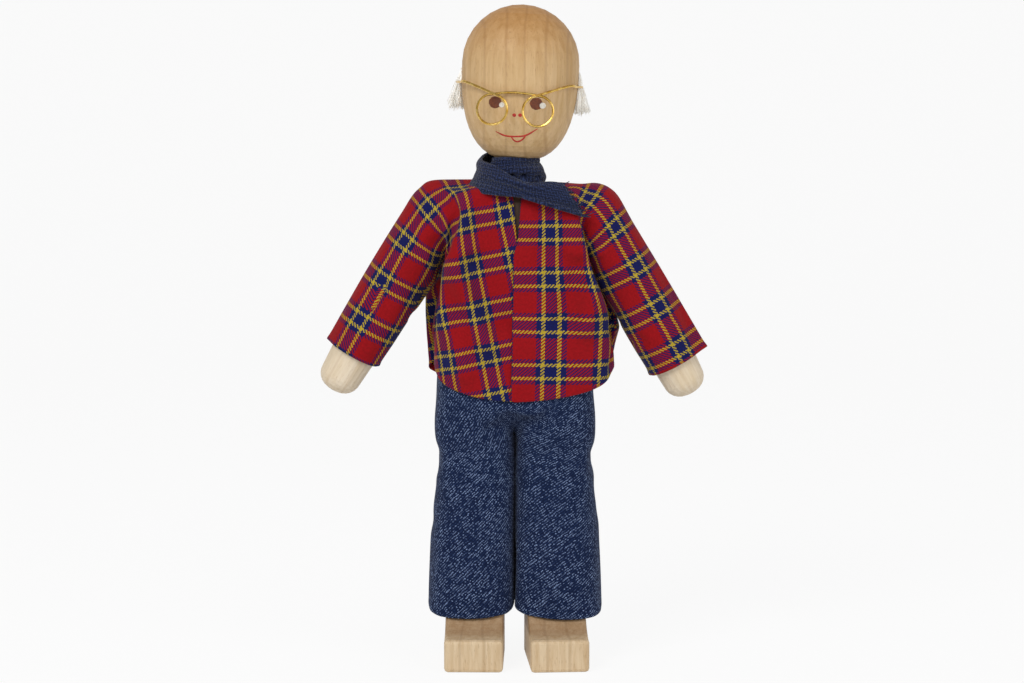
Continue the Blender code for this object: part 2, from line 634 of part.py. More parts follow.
def build_trousers(denim, elastic):
    half = TORSO_WIDTH / 2 + FIT + CLOTH
    deep = TORSO_DEPTH / 2 + FIT + CLOTH + TROUSER_EASE
    waist_z = HIP_Z + TROUSER_RISE
    fork_z = HIP_Z - HIP_RADIUS - TROUSER_FORK_DROP
    room = FIT + ELASTIC_THICKNESS
    seat = HIP_Z - fork_z
    flare = TROUSER_HIP_FLARE
    rows = [
        (0.0, fork_z, half + flare, deep + room * 0.7, 3.0, 0.012),
        (0.0, fork_z + seat * 0.55, half + flare * 0.9, deep + room * 0.7, 3.4, 0.012),
        (0.0, HIP_Z, half + max(flare * 0.5, room), deep + room * 0.5, 5.0, 0.0),
        (0.0, waist_z - 2 * ELASTIC_HEIGHT, half + room, deep + room, 6.0, 0.0),
        (0.0, waist_z, half + room, deep + room, 6.0, 0.0),
    ]
    add_object("trousers_seat", cloth_tube(rows, 36, CLOTH, 6, 0.0), denim)

    band_z = waist_z - 1.4 * ELASTIC_HEIGHT
    band = half - CLOTH + ELASTIC_THICKNESS
    band_deep = deep - CLOTH + ELASTIC_THICKNESS
    rows = [(0.0, band_z + ELASTIC_HEIGHT * t, band, band_deep, 6.0, 0.0) for t in (0.0, 0.5, 1.0)]
    add_object("waist_elastic", cloth_tube(rows, 36, ELASTIC_THICKNESS), elastic)

    top_z = fork_z - FIT
    wide = LEG_WIDTH / 2 + TROUSER_LEG_EASE
    deep = LEG_DEPTH / 2 + TROUSER_FRONT_EASE
    out = LEG_X + PIN_FIT
    for name, side in SIDES:
        rows = []
        for share, grow, square, fold in ((0.0, 0.3, 3.4, 0.008), (0.2, 0.1, 3.2, 0.012), (0.4, -0.1, 3.2, 0.014),
                                          (0.6, -0.4, 3.4, 0.012), (0.8, -0.6, 3.6, 0.008), (1.0, -0.4, 3.6, 0.006)):
            z = TROUSER_HEM_Z + (top_z - TROUSER_HEM_Z) * share
            grow *= CLOTH
            rows.append((side * (out + grow), z, wide + grow * 0.8, deep + grow, square, fold))
        turn = 0.7 if side > 0 else 2.2
        add_object(f"trouser_leg_{name}", cloth_tube(rows, 32, CLOTH, 4, turn), denim)


def build_neckerchief(cotton):
    """A strip that starts under itself at the front, goes once round the neck and ends in a loose tail."""
    low = TORSO_TOP_Z + 2 * FIT + CLOTH + 2 * SHIRT_EASE
    middle = low + NECKERCHIEF_HEIGHT / 2
    start = NECK_DIAMETER / 2 + NECKERCHIEF_SLACK + NECKERCHIEF_THICKNESS / 2
    path = []
    sizes = []
    steps = 22
    for i in range(steps + 1):
        share = i / steps
        angle = math.radians(24 + 330 * share)
        radius = start + (NECKERCHIEF_THICKNESS + 2 * FIT) * share**1.5
        path.append(Vector((radius * math.sin(angle), -radius * math.cos(angle), middle)))
        sizes.append((NECKERCHIEF_THICKNESS, NECKERCHIEF_HEIGHT))
    front = -(TORSO_DEPTH / 2 + CLOTH + TAIL_STAND_OFF)
    grow = TAIL_END_HEIGHT - NECKERCHIEF_HEIGHT
    for share, fall, lift in ((0.18, 0.48, -0.14), (0.43, 0.68, 0.07), (0.71, 0.84, 0.14), (1.0, 1.0, 0.07)):
        path.append(Vector((TAIL_LENGTH * share, front - TAIL_STAND_OFF * lift, middle - TAIL_DROP * fall)))
        sizes.append((NECKERCHIEF_THICKNESS * 0.8, NECKERCHIEF_HEIGHT + grow * (1.3 * share - 0.3)))
    rings = []
    for i, point in enumerate(path):
        along = path[min(i + 1, len(path) - 1)] - path[max(i - 1, 0)]
        along.z = 0
        out = along.normalized().cross(Vector((0, 0, 1)))
        thick, tall = sizes[i]
        ring = []
        for u, v in oval(thick / 2, tall / 2, 4.0, 12):
            ring.append(point + out * u + Vector((0, 0, v)))
        rings.append(ring)
    add_object("neckerchief", skin(rings), cotton)


def build():
    start_empty()
    beech = make_material("beech", (0.62, 0.44, 0.24), 0.55)
    pale_beech = make_material("pale_beech", (0.68, 0.56, 0.39), 0.6)
    turned_beech = make_material("turned_beech", (0.58, 0.40, 0.19), 0.5)
    steel = make_material("steel", (0.55, 0.55, 0.56), 0.35, 1.0)
    brass = make_material("brass", (0.60, 0.47, 0.24), 0.3, 1.0)
    wool = make_material("wool", (0.80, 0.78, 0.72), 0.95)
    plaid = make_material("plaid_cotton", (0.39, 0.02, 0.03), 0.9)
    denim = make_material("denim", (0.03, 0.06, 0.16), 0.9)
    cotton = make_material("blue_cotton", (0.02, 0.05, 0.13), 0.95)
    elastic = make_material("elastic", (0.7, 0.7, 0.68), 0.8)
    build_torso(beech)
    build_head(turned_beech, brass, wool, pale_beech)
    for name, side in SIDES:
        build_arm(name, side, beech, pale_beech, steel)
        build_leg(name, side, beech, pale_beech, steel)
    half_pin = TORSO_WIDTH / 2 - 0.0008
    pin = add_object("hip_pin", rod(PIN_DIAMETER / 2, (-half_pin, 0, 0), (half_pin, 0, 0), 16), steel)
    pin.location = (0, 0, HIP_Z)
    build_shirt(plaid)
    build_trousers(denim, elastic)
    build_neckerchief(cotton)


build()
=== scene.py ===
"""Looks of the miniature wooden doll: sewn clothes, wool hair, painted face and finishes.

Metres, +Z up. The face looks along -Y and the doll's left is +X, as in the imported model.
"""
import json
import math
import random
from functools import partial

import bpy
import numpy as np
from mathutils import Matrix, Vector
from mathutils.bvhtree import BVHTree


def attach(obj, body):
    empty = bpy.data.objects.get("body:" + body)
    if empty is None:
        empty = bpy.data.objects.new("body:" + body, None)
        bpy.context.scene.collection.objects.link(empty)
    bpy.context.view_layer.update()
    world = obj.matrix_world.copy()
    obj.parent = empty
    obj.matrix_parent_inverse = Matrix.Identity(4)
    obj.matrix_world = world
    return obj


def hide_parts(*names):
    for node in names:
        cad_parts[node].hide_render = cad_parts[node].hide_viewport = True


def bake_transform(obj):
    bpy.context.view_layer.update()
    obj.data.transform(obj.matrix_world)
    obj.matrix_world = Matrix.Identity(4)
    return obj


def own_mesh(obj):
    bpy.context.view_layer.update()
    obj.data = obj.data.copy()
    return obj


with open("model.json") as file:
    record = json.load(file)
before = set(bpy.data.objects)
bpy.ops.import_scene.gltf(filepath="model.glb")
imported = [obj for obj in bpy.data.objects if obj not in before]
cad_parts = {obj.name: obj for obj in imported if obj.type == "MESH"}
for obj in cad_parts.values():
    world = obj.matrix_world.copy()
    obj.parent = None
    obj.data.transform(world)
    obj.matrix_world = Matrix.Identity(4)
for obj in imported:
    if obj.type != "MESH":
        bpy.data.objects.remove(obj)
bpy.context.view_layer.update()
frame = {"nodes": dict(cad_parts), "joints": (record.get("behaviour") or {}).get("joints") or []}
nodes = frame["nodes"]
joints = {joint["name"]: joint for joint in frame["joints"]}
SIDES = (("left", 1), ("right", -1))
FRONT, BACK, SEWN = 0, 1, 2

CELL = 0.0011

# Shirt pattern, as cut flat: one T-shaped piece for the front and one for the back.
SLEEVE_REACH = 0.055
SLEEVE_DEPTH = 0.0209
CUFF_DEPTH = 0.0182
SHIRT_HALF_WIDTH = 0.0275
SHIRT_LENGTH = 0.0490
TAIL_TOP = 0.028
TAIL_RISE = 0.0105
NECK_HALF_WIDTH = 0.0052
NECK_SEAM_SLACK = 0.0003
NECK_DROP = {FRONT: 0.0034, BACK: 0.0018}
ELBOW_REACH = 0.0385

# Where the shirt hangs on the doll and where it parts into pieces.
SHIRT_TOP_Z = 0.0958
ARMHOLE_REACH = 0.0150
ARMHOLE_LEAN = math.radians(13)
ARMPIT_Z = 0.0750
TAIL_HINGE_Z = 0.0635
ARM_EASE = 0.0010

# The doll's left side puffs out: how far, how fast below the sleeve and away from the middle,
# and the share that the back keeps and where it grows to the whole.
SIDE_PUFF = 0.0030
PUFF_DROP = 0.012
PUFF_START, PUFF_RUN = 0.004, 0.014
PUFF_BACK_SHARE = 0.35
PUFF_BACK_START, PUFF_BACK_RUN = 0.013, 0.0145

# Creases of the shirt's front: where each starts and ends in x and z, its half width and its height.
CREASES = (((-0.0120, 0.0785), (-0.0055, 0.0640), 0.0018, 0.0022),
           ((-0.0078, 0.0800), (-0.0028, 0.0680), 0.0016, -0.0018),
           ((-0.0145, 0.0815), (-0.0080, 0.0825), 0.0013, 0.0014),
           ((0.0170, 0.0800), (0.0140, 0.0670), 0.0019, 0.0020),
           ((0.0125, 0.0795), (0.0090, 0.0680), 0.0017, -0.0015),
           ((-0.0150, 0.0700), (-0.0100, 0.0580), 0.0019, 0.0016),
           ((0.0060, 0.0840), (0.0130, 0.0815), 0.0013, 0.0011))

# Sleeve linings: the arm they lie on, and where each starts and ends down it from the shoulder.
ARM_RADIUS = 0.0050
KNUCKLE_RADIUS = 0.0052
KNUCKLE_START = 0.001
KNUCKLE_TURNS = (0, 20, 40, 55, 70, 80, 88)
ELBOW_SLOT_TOP = 0.0160
LININGS = {"upper_arm": (0.0025, 0.0262), "forearm": (0.0266, 0.0305)}
LINING_GAP = 0.0004
LINING_COUNT = 24
LINING_ROWS = {"upper_arm": 8, "forearm": 10}
OUTSIDE_ARM = 0.012

# Front opening: the doll's left panel laps over the right one below a V.
SLIT_DEPTH = 0.0172
SLIT_WIDTH = 0.0028
SLIT_CELLS = 5
LAP = 0.0007
LAP_LIFT = 0.00045
LAP_RUN = 0.003
# The right panel is cut off the straight grain, turned about one spot; its sleeve stays straight.
PANEL_TILT = math.radians(12)
TILT_SPOT = (-0.020, 0.010)
TILT_INWARD, TILT_INWARD_RUN = 0.024, 0.009
TILT_DOWN, TILT_DOWN_RUN = 0.015, 0.008

# Trouser pattern, cut flat in the same way.
TROUSER_TOP_Z = 0.0650
TROUSER_LENGTH = 0.0594
WAIST_HALF_WIDTH = 0.0214
HEM_HALF_WIDTH = 0.0273
CROTCH_DROP = 0.0242
TROUSER_HEM_RISE = 0.0030
LEG_SPLIT = 0.0003
GUSSET_CELLS = 3
GUSSET_DEPTH = 0.0004
SEAT_DROP = 0.0066
KNEE_DROP = 0.0297
WAIST_HALF = (0.0142, 0.0092)
WAIST_STEPS = 400
WAIST_TUCK = 0.0005
HIP_BLEND = 0.012
KNEE_BLEND = 0.009
TROUSER_EASE = 0.0008

# The legs close up on each other below the seat, and spread a little at their outer sides.
LEG_INNER_X = 0.0011
LEG_CLOSE_DROP, LEG_CLOSE_RUN = 0.012, 0.010
LEG_OUTER_X = 0.0165
LEG_SPREAD = 0.0011
LEG_SPREAD_Z, LEG_SPREAD_RUN = 0.056, 0.020

# Forms that the cloth drapes on: z, half width and half depth of each level, and x where it is off centre.
TORSO_LEVELS = ((0.060, 0.012, 0.0065), (0.088, 0.012, 0.0065), (0.091, 0.0117, 0.0062),
                (0.0925, 0.011, 0.0052), (0.093, 0.0095, 0.0038))
NECK_LEVELS = ((0.092, 0.0036, 0.0036), (0.104, 0.0036, 0.0036))
SHOULDER_X = 0.0152
SHOULDER_Z = 0.088
SHOULDER_POINT_Z = {"left": 0.0942, "right": 0.0952}
SHOULDER_ROUNDING = 0.001
BACK_LIES_Y = 0.0110
TABLE_LEVELS = ((0.035, 0.080, 0.002), (0.110, 0.080, 0.002))
HIP_LEVELS = ((0.0435, 0.0146, 0.0068), (0.0470, 0.0151, 0.0077), (0.0530, 0.0149, 0.0082),
              (0.0600, 0.0142, 0.0084), (0.0660, 0.0136, 0.0084))
LEG_LEVELS = ((0.0020, 0.0072, 0.0071, 0.0088), (0.0090, 0.0071, 0.0070, 0.0088),
              (0.0200, 0.0067, 0.0067, 0.0085), (0.0300, 0.0063, 0.0065, 0.0081),
              (0.0400, 0.0058, 0.0063, 0.0077), (0.0500, 0.0056, 0.0060, 0.0076))
ARM_FORM_RADIUS = 0.0049
ARM_FORM_LENGTH = 0.038

# Head: heights are measured up the head's axis from the underside of the chin.
HEAD_TURN = math.radians(-3.5)
NECK_TO_CHIN = 0.0064
OUTSIDE_HEAD = 0.03
PAINT_THICKNESS = 0.00005
BROWN, WHITE, RED = 0, 1, 2
# Dabs of paint: x, height, half width, half height, colour and layers. Strokes: points and half width.
DABS = ((-0.00400, 0.01132, 0.00128, 0.00118, BROWN, 1.0), (0.00394, 0.01137, 0.00128, 0.00118, BROWN, 1.0),
        (-0.00269, 0.01089, 0.00052, 0.00050, WHITE, 2.2), (0.00512, 0.01107, 0.00062, 0.00060, WHITE, 2.2),
        (-0.00020, 0.00903, 0.00038, 0.00036, RED, 1.0), (0.00093, 0.00908, 0.00038, 0.00036, RED, 1.0))
MOUTH = (((-0.00377, 0.00574), (-0.00185, 0.00500), (0.00054, 0.00496), (0.00227, 0.00532),
          (0.00428, 0.00658)), 0.00018)
TONGUE = (((-0.00076, 0.00490), (-0.0001, 0.00415), (0.00064, 0.00397), (0.0015, 0.00445),
           (0.00218, 0.00528)), 0.00017)
# Sections of a dab and a stroke: the share of the way out, and the share of the thickness there.
DAB_SECTION = ((0.5, 0.95), (0.82, 0.75), (0.96, 0.35), (1.0, -0.3))
STROKE_SECTION = ((-1, -0.3), (-0.7, 0.6), (0, 0.9), (0.7, 0.6), (1, -0.3))
STROKE_TIP = 0.35
DAB_WOBBLE = 0.04

HAIR_TOP = 0.0178
HAIR_BOTTOM = 0.0103
HAIR_ARC = (-3, 183)
HAIR_UNEVEN = 0.0014
HAIR_CUT_SPREAD = 0.0004
HAIR_FLARE = 0.0032
HAIR_FLARE_LEAST = 0.12
HAIR_BACK_FLARE = 0.62
HAIR_DRIFT = 0.05
HAIR_CURL = 0.00025
HAIR_CURL_TURN = 9
HAIR_GLUE = 0.0001
HAIR_COUNT = 1500
HAIR_STEPS = 5
HAIR_RADIUS = 0.00011

# Neckerchief in mm: the turn round the neck as degrees, radius, height, half width and lean, then the loose end
# as its middle and half its width.
MM = 0.001
NECK_TURN = ((-50, 5.2, 97.4, 2.7, 0.1), (-30, 5.4, 97.6, 2.8, 0.1), (0, 5.5, 97.8, 2.9, 0.2),
             (35, 5.7, 97.8, 2.9, 0.4), (70, 5.9, 97.8, 2.9, 0.6), (110, 6.0, 97.8, 2.9, 0.7),
             (150, 6.2, 97.9, 2.9, 0.7), (190, 6.4, 97.9, 3.0, 0.8), (230, 6.7, 97.7, 3.2, 0.9),
             (270, 7.1, 96.8, 3.1, 1.4), (300, 7.3, 96.4, 3.0, 1.3), (325, 7.5, 96.0, 2.9, 1.0),
             (345, 7.9, 95.4, 2.5, 0.7))
LOOSE_END = (((0.3, -8.6, 94.6), (-0.5, 0.2, 1.9)), ((2.4, -9.0, 93.9), (0.2, 0.2, 1.6)),
             ((5.2, -9.2, 93.4), (-0.6, 0.2, 2.2)), ((8.4, -9.1, 92.8), (-1.5, 0.2, 2.9)),
             ((11.3, -8.8, 92.1), (-2.1, 0.2, 3.3)))
NECK_LEAN_X = -0.7
STRIP_THICKNESS = 0.0007
STRIP_STEPS = 6
STRIP_POINTS = 15
# Lengthwise folds: depth in metres, turns across the strip in radians, and drift in radians per mm.
STRIP_FOLDS = ((0.00034, 4.2, 0.10), (0.00016, 8, -0.23))
IN_FRONT_Y = -0.04
FRAY_COUNT = 46
FRAY_RADIUS = 0.00012
FRAY_EDGE = 0.98
FRAY_ROOT = 0.0004
FRAY_REACH = (0.0007, 0.0019)
FRAY_BEND = (0.25, 0.12)

# Cloth simulation: Blender's cloth is tuned for clothes of human size, so the doll is enlarged.
SIM_SCALE = 12.0
OPEN_FRAME = 20
ARMS_MOVE = (22, 50)
SHIRT_FRAMES = 64
TROUSER_FRAMES = 45
TROUSER_PULL = (0.0, 0.0, -4.0)
SHIRT_PULL = (0.0, 4.0, -2.4)
CLOTH_SETTINGS = {"quality": 6, "mass": 0.25, "tension_stiffness": 40, "compression_stiffness": 40,
                  "shear_stiffness": 15, "bending_stiffness": 12.0, "tension_damping": 10,
                  "compression_damping": 10, "shear_damping": 10, "bending_damping": 1.0, "air_damping": 4}
CLOTH_DISTANCE = 0.004
FORM_OUTER, FORM_INNER = 0.003, 0.2
FORM_FLAT = 0.01
SLIPPERY, SMOOTH, ROUGH, STICKY = 0.2, 0.5, 1.0, 2.0
CLOTH_GAP = 0.0005
WOOD_GAP = 0.0005
WOOD_REACH = 0.004
HEM_FOLD = 0.0012
CLOTH_THICKNESS = 0.00028

# A small step past a seam; the heights where the trousers part are taken two steps lower.
SEAM_STEP = 0.0001

# Studio lamps: name, place, size and power. All look at the doll's middle.
LAMPS = (("key", (-0.35, -0.55, 0.55), 0.4, 3.4), ("fill", (0.5, -0.45, 0.30), 0.5, 1.4))
LAMPS_AIM = (0, 0, 0.07)


def linear(colour):
    """sRGB hex to a linear RGBA colour."""
    levels = [int(colour[i:i + 2], 16) / 255 for i in (1, 3, 5)]
    return (*[c / 12.92 if c <= 0.04045 else ((c + 0.055) / 1.055) ** 2.4 for c in levels], 1.0)


def smoothstep(value):
    value = min(max(value, 0.0), 1.0)
    return value * value * (3 - 2 * value)


def circle(count):
    """Cosine and sine of equal steps round a turn."""
    return [(math.cos(2 * math.pi * k / count), math.sin(2 * math.pi * k / count)) for k in range(count)]


def arm_line(name):
    """Where a shoulder lies, and the line from it to the elbow."""
    shoulder = Vector(joints[f"{name}_shoulder"]["pos_m"])
    return shoulder, Vector(joints[f"{name}_elbow"]["pos_m"]) - shoulder


def surface_of(node):
    return BVHTree.FromObject(node, bpy.context.evaluated_depsgraph_get())


def add_mesh(name, vertices, faces, materials=(), smooth=False):
    mesh = bpy.data.meshes.new(name)
    mesh.from_pydata([tuple(v) for v in vertices], [], [tuple(f) for f in faces])
    for material in materials:
        mesh.materials.append(material)
    if smooth:
        mesh.shade_smooth()
    thing = bpy.data.objects.new(name, mesh)
    bpy.context.scene.collection.objects.link(thing)
    return thing


def map_cloth(thing, places):
    """Gives each corner of a mesh its place in the cut cloth."""
    for spot, place in zip(thing.data.uv_layers.new(name="cloth").data, places):
        spot.uv = place


def quads(rows, count, closed=True, start=0):
    """Faces between rows of equal count, each row a ring where it is closed."""
    faces = []
    for low in range(start, start + (rows - 1) * count, count):
        for k in range(count if closed else count - 1):
            n = (k + 1) % count
            faces.append([low + k, low + n, low + count + n, low + count + k])
    return faces


def remove(thing):
    mesh = thing.data
    bpy.data.objects.remove(thing, do_unlink=True)
    bpy.data.meshes.remove(mesh)


def settled(thing):
    """Keeps the shape that the object's modifiers give it."""
    graph = bpy.context.evaluated_depsgraph_get()
    mesh = bpy.data.meshes.new_from_object(thing.evaluated_get(graph))
    old = thing.data
    thing.modifiers.clear()
    thing.data = mesh
    bpy.data.meshes.remove(old)
    return thing


# Materials

def feed(node, inputs):
    """Sets inputs to values or sRGB hex colours, or links them to sockets or to a node's first live output."""
    for name, value in inputs.items():
        if isinstance(value, bpy.types.Node):
            value = next(socket for socket in value.outputs if socket.enabled)
        if isinstance(value, bpy.types.NodeSocket):
            node.id_data.links.new(value, node.inputs[name])
        else:
            node.inputs[name].default_value = linear(value) if isinstance(value, str) else value


def add_node(tree, kind, inputs=None, stops=(), **settings):
    """Adds a shader node with its settings, inputs and, on a colour ramp, its stops."""
    node = tree.nodes.new("ShaderNode" + kind)
    for name, value in settings.items():
        setattr(node, name, value)
    feed(node, inputs or {})
    if stops:
        ramp = node.color_ramp
        while len(ramp.elements) < len(stops):
            ramp.elements.new(1.0)
        for element, (place, colour) in zip(ramp.elements, stops):
            element.position = place
            element.color = linear(colour)
    return node


def start_material(name, roughness, **values):
    """A new material, what adds nodes to it, and its shader; values go on the shader's own sockets."""
    material = bpy.data.materials.new(name)
    material.use_nodes = True
    shader = material.node_tree.nodes["Principled BSDF"]
    sockets = {socket.replace("_", " "): value for socket, value in values.items()}
    feed(shader, {"Roughness": roughness, **sockets})
    return material, partial(add_node, material.node_tree), shader


def wood(name, pale, deep, fleck, lean=0.0, shade_tint=None, grain_size=0.0011, fleck_size=0.00022, ring=0.0042):
    """Beech, sanded and left matt: straight pale grain, thin year lines and short dark ray flecks."""
    material, add, shader = start_material(name, 0.55, Specular_IOR_Level=0.35)
    place = add("Mapping", {"Vector": add("TexCoord").outputs["Object"], "Rotation": (0.0, lean, 0.0)})
    stretch = add("Mapping", {"Vector": place, "Scale": (1.0, 1.0, 0.07)})
    grain = add("TexNoise", {"Vector": stretch, "Scale": 1 / grain_size, "Detail": 4.0, "Roughness": 0.6,
                             "Distortion": 0.4})
    tone = add("ValToRGB", {"Fac": grain}, [(0.30, deep), (0.62, pale)])
    streak = add("Mapping", {"Vector": place, "Scale": (1.0, 1.0, 0.16)})
    flecks = add("TexNoise", {"Vector": streak, "Scale": 1 / fleck_size, "Detail": 2.0})
    mask = add("MapRange", {"Value": flecks, "From Min": 0.60, "From Max": 0.76, "To Max": 0.4})
    colour = add("Mix", {"Factor": mask, 6: tone, 7: fleck}, data_type="RGBA")
    rings = add("TexWave", {"Vector": stretch, "Scale": math.pi / (10 * ring), "Distortion": 3.6, "Detail": 2.0,
                            "Detail Scale": 0.9}, bands_direction="X")
    line = add("MapRange", {"Value": rings.outputs["Fac"], "From Min": 0.93, "From Max": 1.0, "To Max": 0.45})
    line = add("Math", {0: line, 1: grain}, operation="MULTIPLY")
    colour = add("Mix", {"Factor": line, 6: colour, 7: fleck}, data_type="RGBA")
    # Above a given height the colour can be multiplied by a darker tone, which paints shade on the upper faces.
    if shade_tint:
        low, high, shade_tint_colour = shade_tint
        height = add("SeparateXYZ", {"Vector": place}).outputs["Z"]
        rise = add("MapRange", {"Value": height, "From Min": low, "From Max": high},
                   interpolation_type="SMOOTHSTEP")
        colour = add("Mix", {"Factor": rise, 6: colour, 7: shade_tint_colour}, data_type="RGBA", blend_type="MULTIPLY")
    feed(shader, {"Base Color": colour,
                  "Roughness": add("MapRange", {"Value": grain, "To Min": 0.62, "To Max": 0.48}),
                  "Normal": add("Bump", {"Strength": 0.25, "Distance": 0.00008, "Height": flecks})})
    return material


def mottled(name, roughness, tones, size, detail, **values):
    """A material whose colour wanders between tones in patches of one size; also returns the patches."""
    material, add, shader = start_material(name, roughness, **values)
    place = add("TexCoord").outputs["Object"]
    patches = add("TexNoise", {"Vector": place, "Scale": 1 / size, "Detail": detail})
    feed(shader, {"Base Color": add("ValToRGB", {"Fac": patches}, tones)})
    return material, add, shader, patches


def brass():
    """Drawn brass wire: bright yellow metal with faint lengthwise rubbing."""
    tones = [(0.3, "#C79A3C"), (0.7, "#EBCB7A")]
    material, add, shader, rub = mottled("drawn_brass_wire", 0.24, tones, size=0.0009, detail=3.0, Metallic=1.0)
    feed(shader, {"Roughness": add("MapRange", {"Value": rub, "To Min": 0.18, "To Max": 0.34})})
    return material


def steel():
    """Cut steel pin wire, dull grey with fine scratches."""
    tones = [(0.3, "#8C8C8E"), (0.7, "#B4B4B6")]
    return mottled("cut_steel_wire", 0.4, tones, size=0.0004, detail=3.0, Metallic=1.0)[0]


def wool():
    """Combed white wool: matt fibres; a faint glow stands in for the light they pass on to each other."""
    tones = [(0.35, "#F8F5EE"), (0.65, "#FFFFFC")]
    return mottled("combed_wool", 0.8, tones, size=0.0013, detail=2.0, Specular_IOR_Level=0.25,
                   Emission_Strength=0.1, Emission_Color="#FFF8EC")[0]


def paint(name, colour, dark, roughness):
    """Hand-brushed enamel: even colour that thins a little in streaks."""
    return mottled(name, roughness, [(0.35, dark), (0.65, colour)], size=0.0004, detail=2.0)[0]


def elastic():
    """White knitted elastic tape, ribbed across."""
    material, add, shader = start_material("knitted_elastic", 0.9)
    place = add("TexCoord").outputs["Object"]
    ribs = add("TexWave", {"Vector": place, "Scale": 1 / 0.0035, "Distortion": 0.6}, bands_direction="Z")
    tones = [(0.2, "#C9C8C2"), (0.8, "#EFEEEA")]
    feed(shader, {"Base Color": add("ValToRGB", {"Fac": ribs.outputs["Fac"]}, tones)})
    return material


def start_cloth(name, roughness, sheen):
    """A matt woven material and its place in the cut cloth, in metres."""
    material, add, shader = start_material(name, roughness, Specular_IOR_Level=0.15, Sheen_Weight=sheen,
                                           Sheen_Roughness=0.5)
    return material, add, shader, add("UVMap", uv_map="cloth")


def yarn_grid(add, place, pitch):
    """Yarn numbers both ways, as a vector and as their sum, and the place across each yarn."""
    step = add("VectorMath", {0: place, "Scale": 1 / pitch}, operation="SCALE")
    number = add("VectorMath", {0: step}, operation="FLOOR")
    at = add("SeparateXYZ", {"Vector": number}).outputs
    total = add("Math", {0: at["X"], 1: at["Y"]}, operation="ADD")
    return number, at, total, add("VectorMath", {0: step}, operation="FRACTION")


def plaid():
    """Twill-woven cotton in a traditional check; the yarns are drawn a little coarse so that they show."""
    pitch = 0.000165
    count = 55
    red, navy, yellow = "#AC0E18", "#141B5E", "#D0B436"
    sett = ((0, red), (25, navy), (30, yellow), (34, navy), (46, yellow), (50, navy))
    material, add, shader, place = start_cloth("twill_woven_cotton_check", 0.9, 0.05)
    _, at, total, within = yarn_grid(add, place, pitch)
    bands = []
    for axis in ("X", "Y"):
        turn = add("Math", {0: at[axis], 1: float(count)}, operation="FLOORED_MODULO")
        middle = add("Math", {0: turn, 1: 0.5}, operation="ADD")
        share = add("Math", {0: middle, 1: float(count)}, operation="DIVIDE")
        ramp = add("ValToRGB", {"Fac": share}, [(start / count, colour) for start, colour in sett])
        ramp.color_ramp.interpolation = "CONSTANT"
        bands.append(ramp)
    step = add("Math", {0: total, 1: 4.0}, operation="FLOORED_MODULO")
    over = add("Math", {0: step, 1: 1.5}, operation="GREATER_THAN")
    weave = add("Mix", {"Factor": over, 6: bands[0], 7: bands[1]}, data_type="RGBA")
    # Random patches vary the tone and darken the cloth: uneven yarn colour, with painted shade for the gaps
    # between yarns and the folds.
    tone_and_shade_noise = add("TexNoise", {"Vector": place, "Scale": 1 / 0.0005, "Detail": 3.0})
    patchy_tone_and_shade = add("MapRange", {"Value": tone_and_shade_noise, "To Min": 0.46, "To Max": 0.90})
    arch = add("VectorMath", {0: within, 1: (0.5, 0.5, 0.0)}, operation="DISTANCE")
    colour = add("Mix", {"Factor": 1.0, 6: weave, 7: patchy_tone_and_shade}, data_type="RGBA", blend_type="MULTIPLY")
    feed(shader, {"Base Color": colour,
                  "Normal": add("Bump", {"Strength": 0.4, "Distance": 0.00006, "Height": arch}, invert=True)})
    return material


def denim():
    """Twill-woven denim, washed: navy warp, with every third crossing showing the pale weft as a fleck."""
    material, add, shader, place = start_cloth("washed_denim_twill", 0.92, 0.05)
    wobble = add("TexNoise", {"Vector": place, "Scale": 1 / 0.0010, "Detail": 2.0})
    shift = add("VectorMath", {0: wobble.outputs["Color"], "Scale": 0.0006}, operation="SCALE")
    drawn = add("VectorMath", {0: place, 1: shift}, operation="ADD")
    number, _, total, _ = yarn_grid(add, drawn, 0.00022)
    step = add("Math", {0: total, 1: 3.0}, operation="FLOORED_MODULO")
    weft = add("Math", {0: step, 1: 0.5}, operation="LESS_THAN")
    bare = add("TexWhiteNoise", {"Vector": number}, noise_dimensions="2D")
    share = add("MapRange", {"Value": bare, "To Min": 0.12, "To Max": 1.0})
    wash = add("TexNoise", {"Vector": place, "Scale": 1 / 0.004, "Detail": 3.0})
    worn = add("MapRange", {"Value": wash, "From Min": 0.3, "From Max": 0.7, "To Min": 0.7, "To Max": 1.15})
    fleck = add("Math", {0: weft, 1: share}, operation="MULTIPLY")
    level = add("Math", {0: fleck, 1: worn}, operation="MULTIPLY")
    tones = [(0.0, "#081634"), (0.35, "#1E3056"), (0.9, "#778AB0")]
    feed(shader, {"Base Color": add("ValToRGB", {"Fac": level}, tones),
                  "Normal": add("Bump", {"Strength": 0.5, "Distance": 0.0001, "Height": level})})
    return material


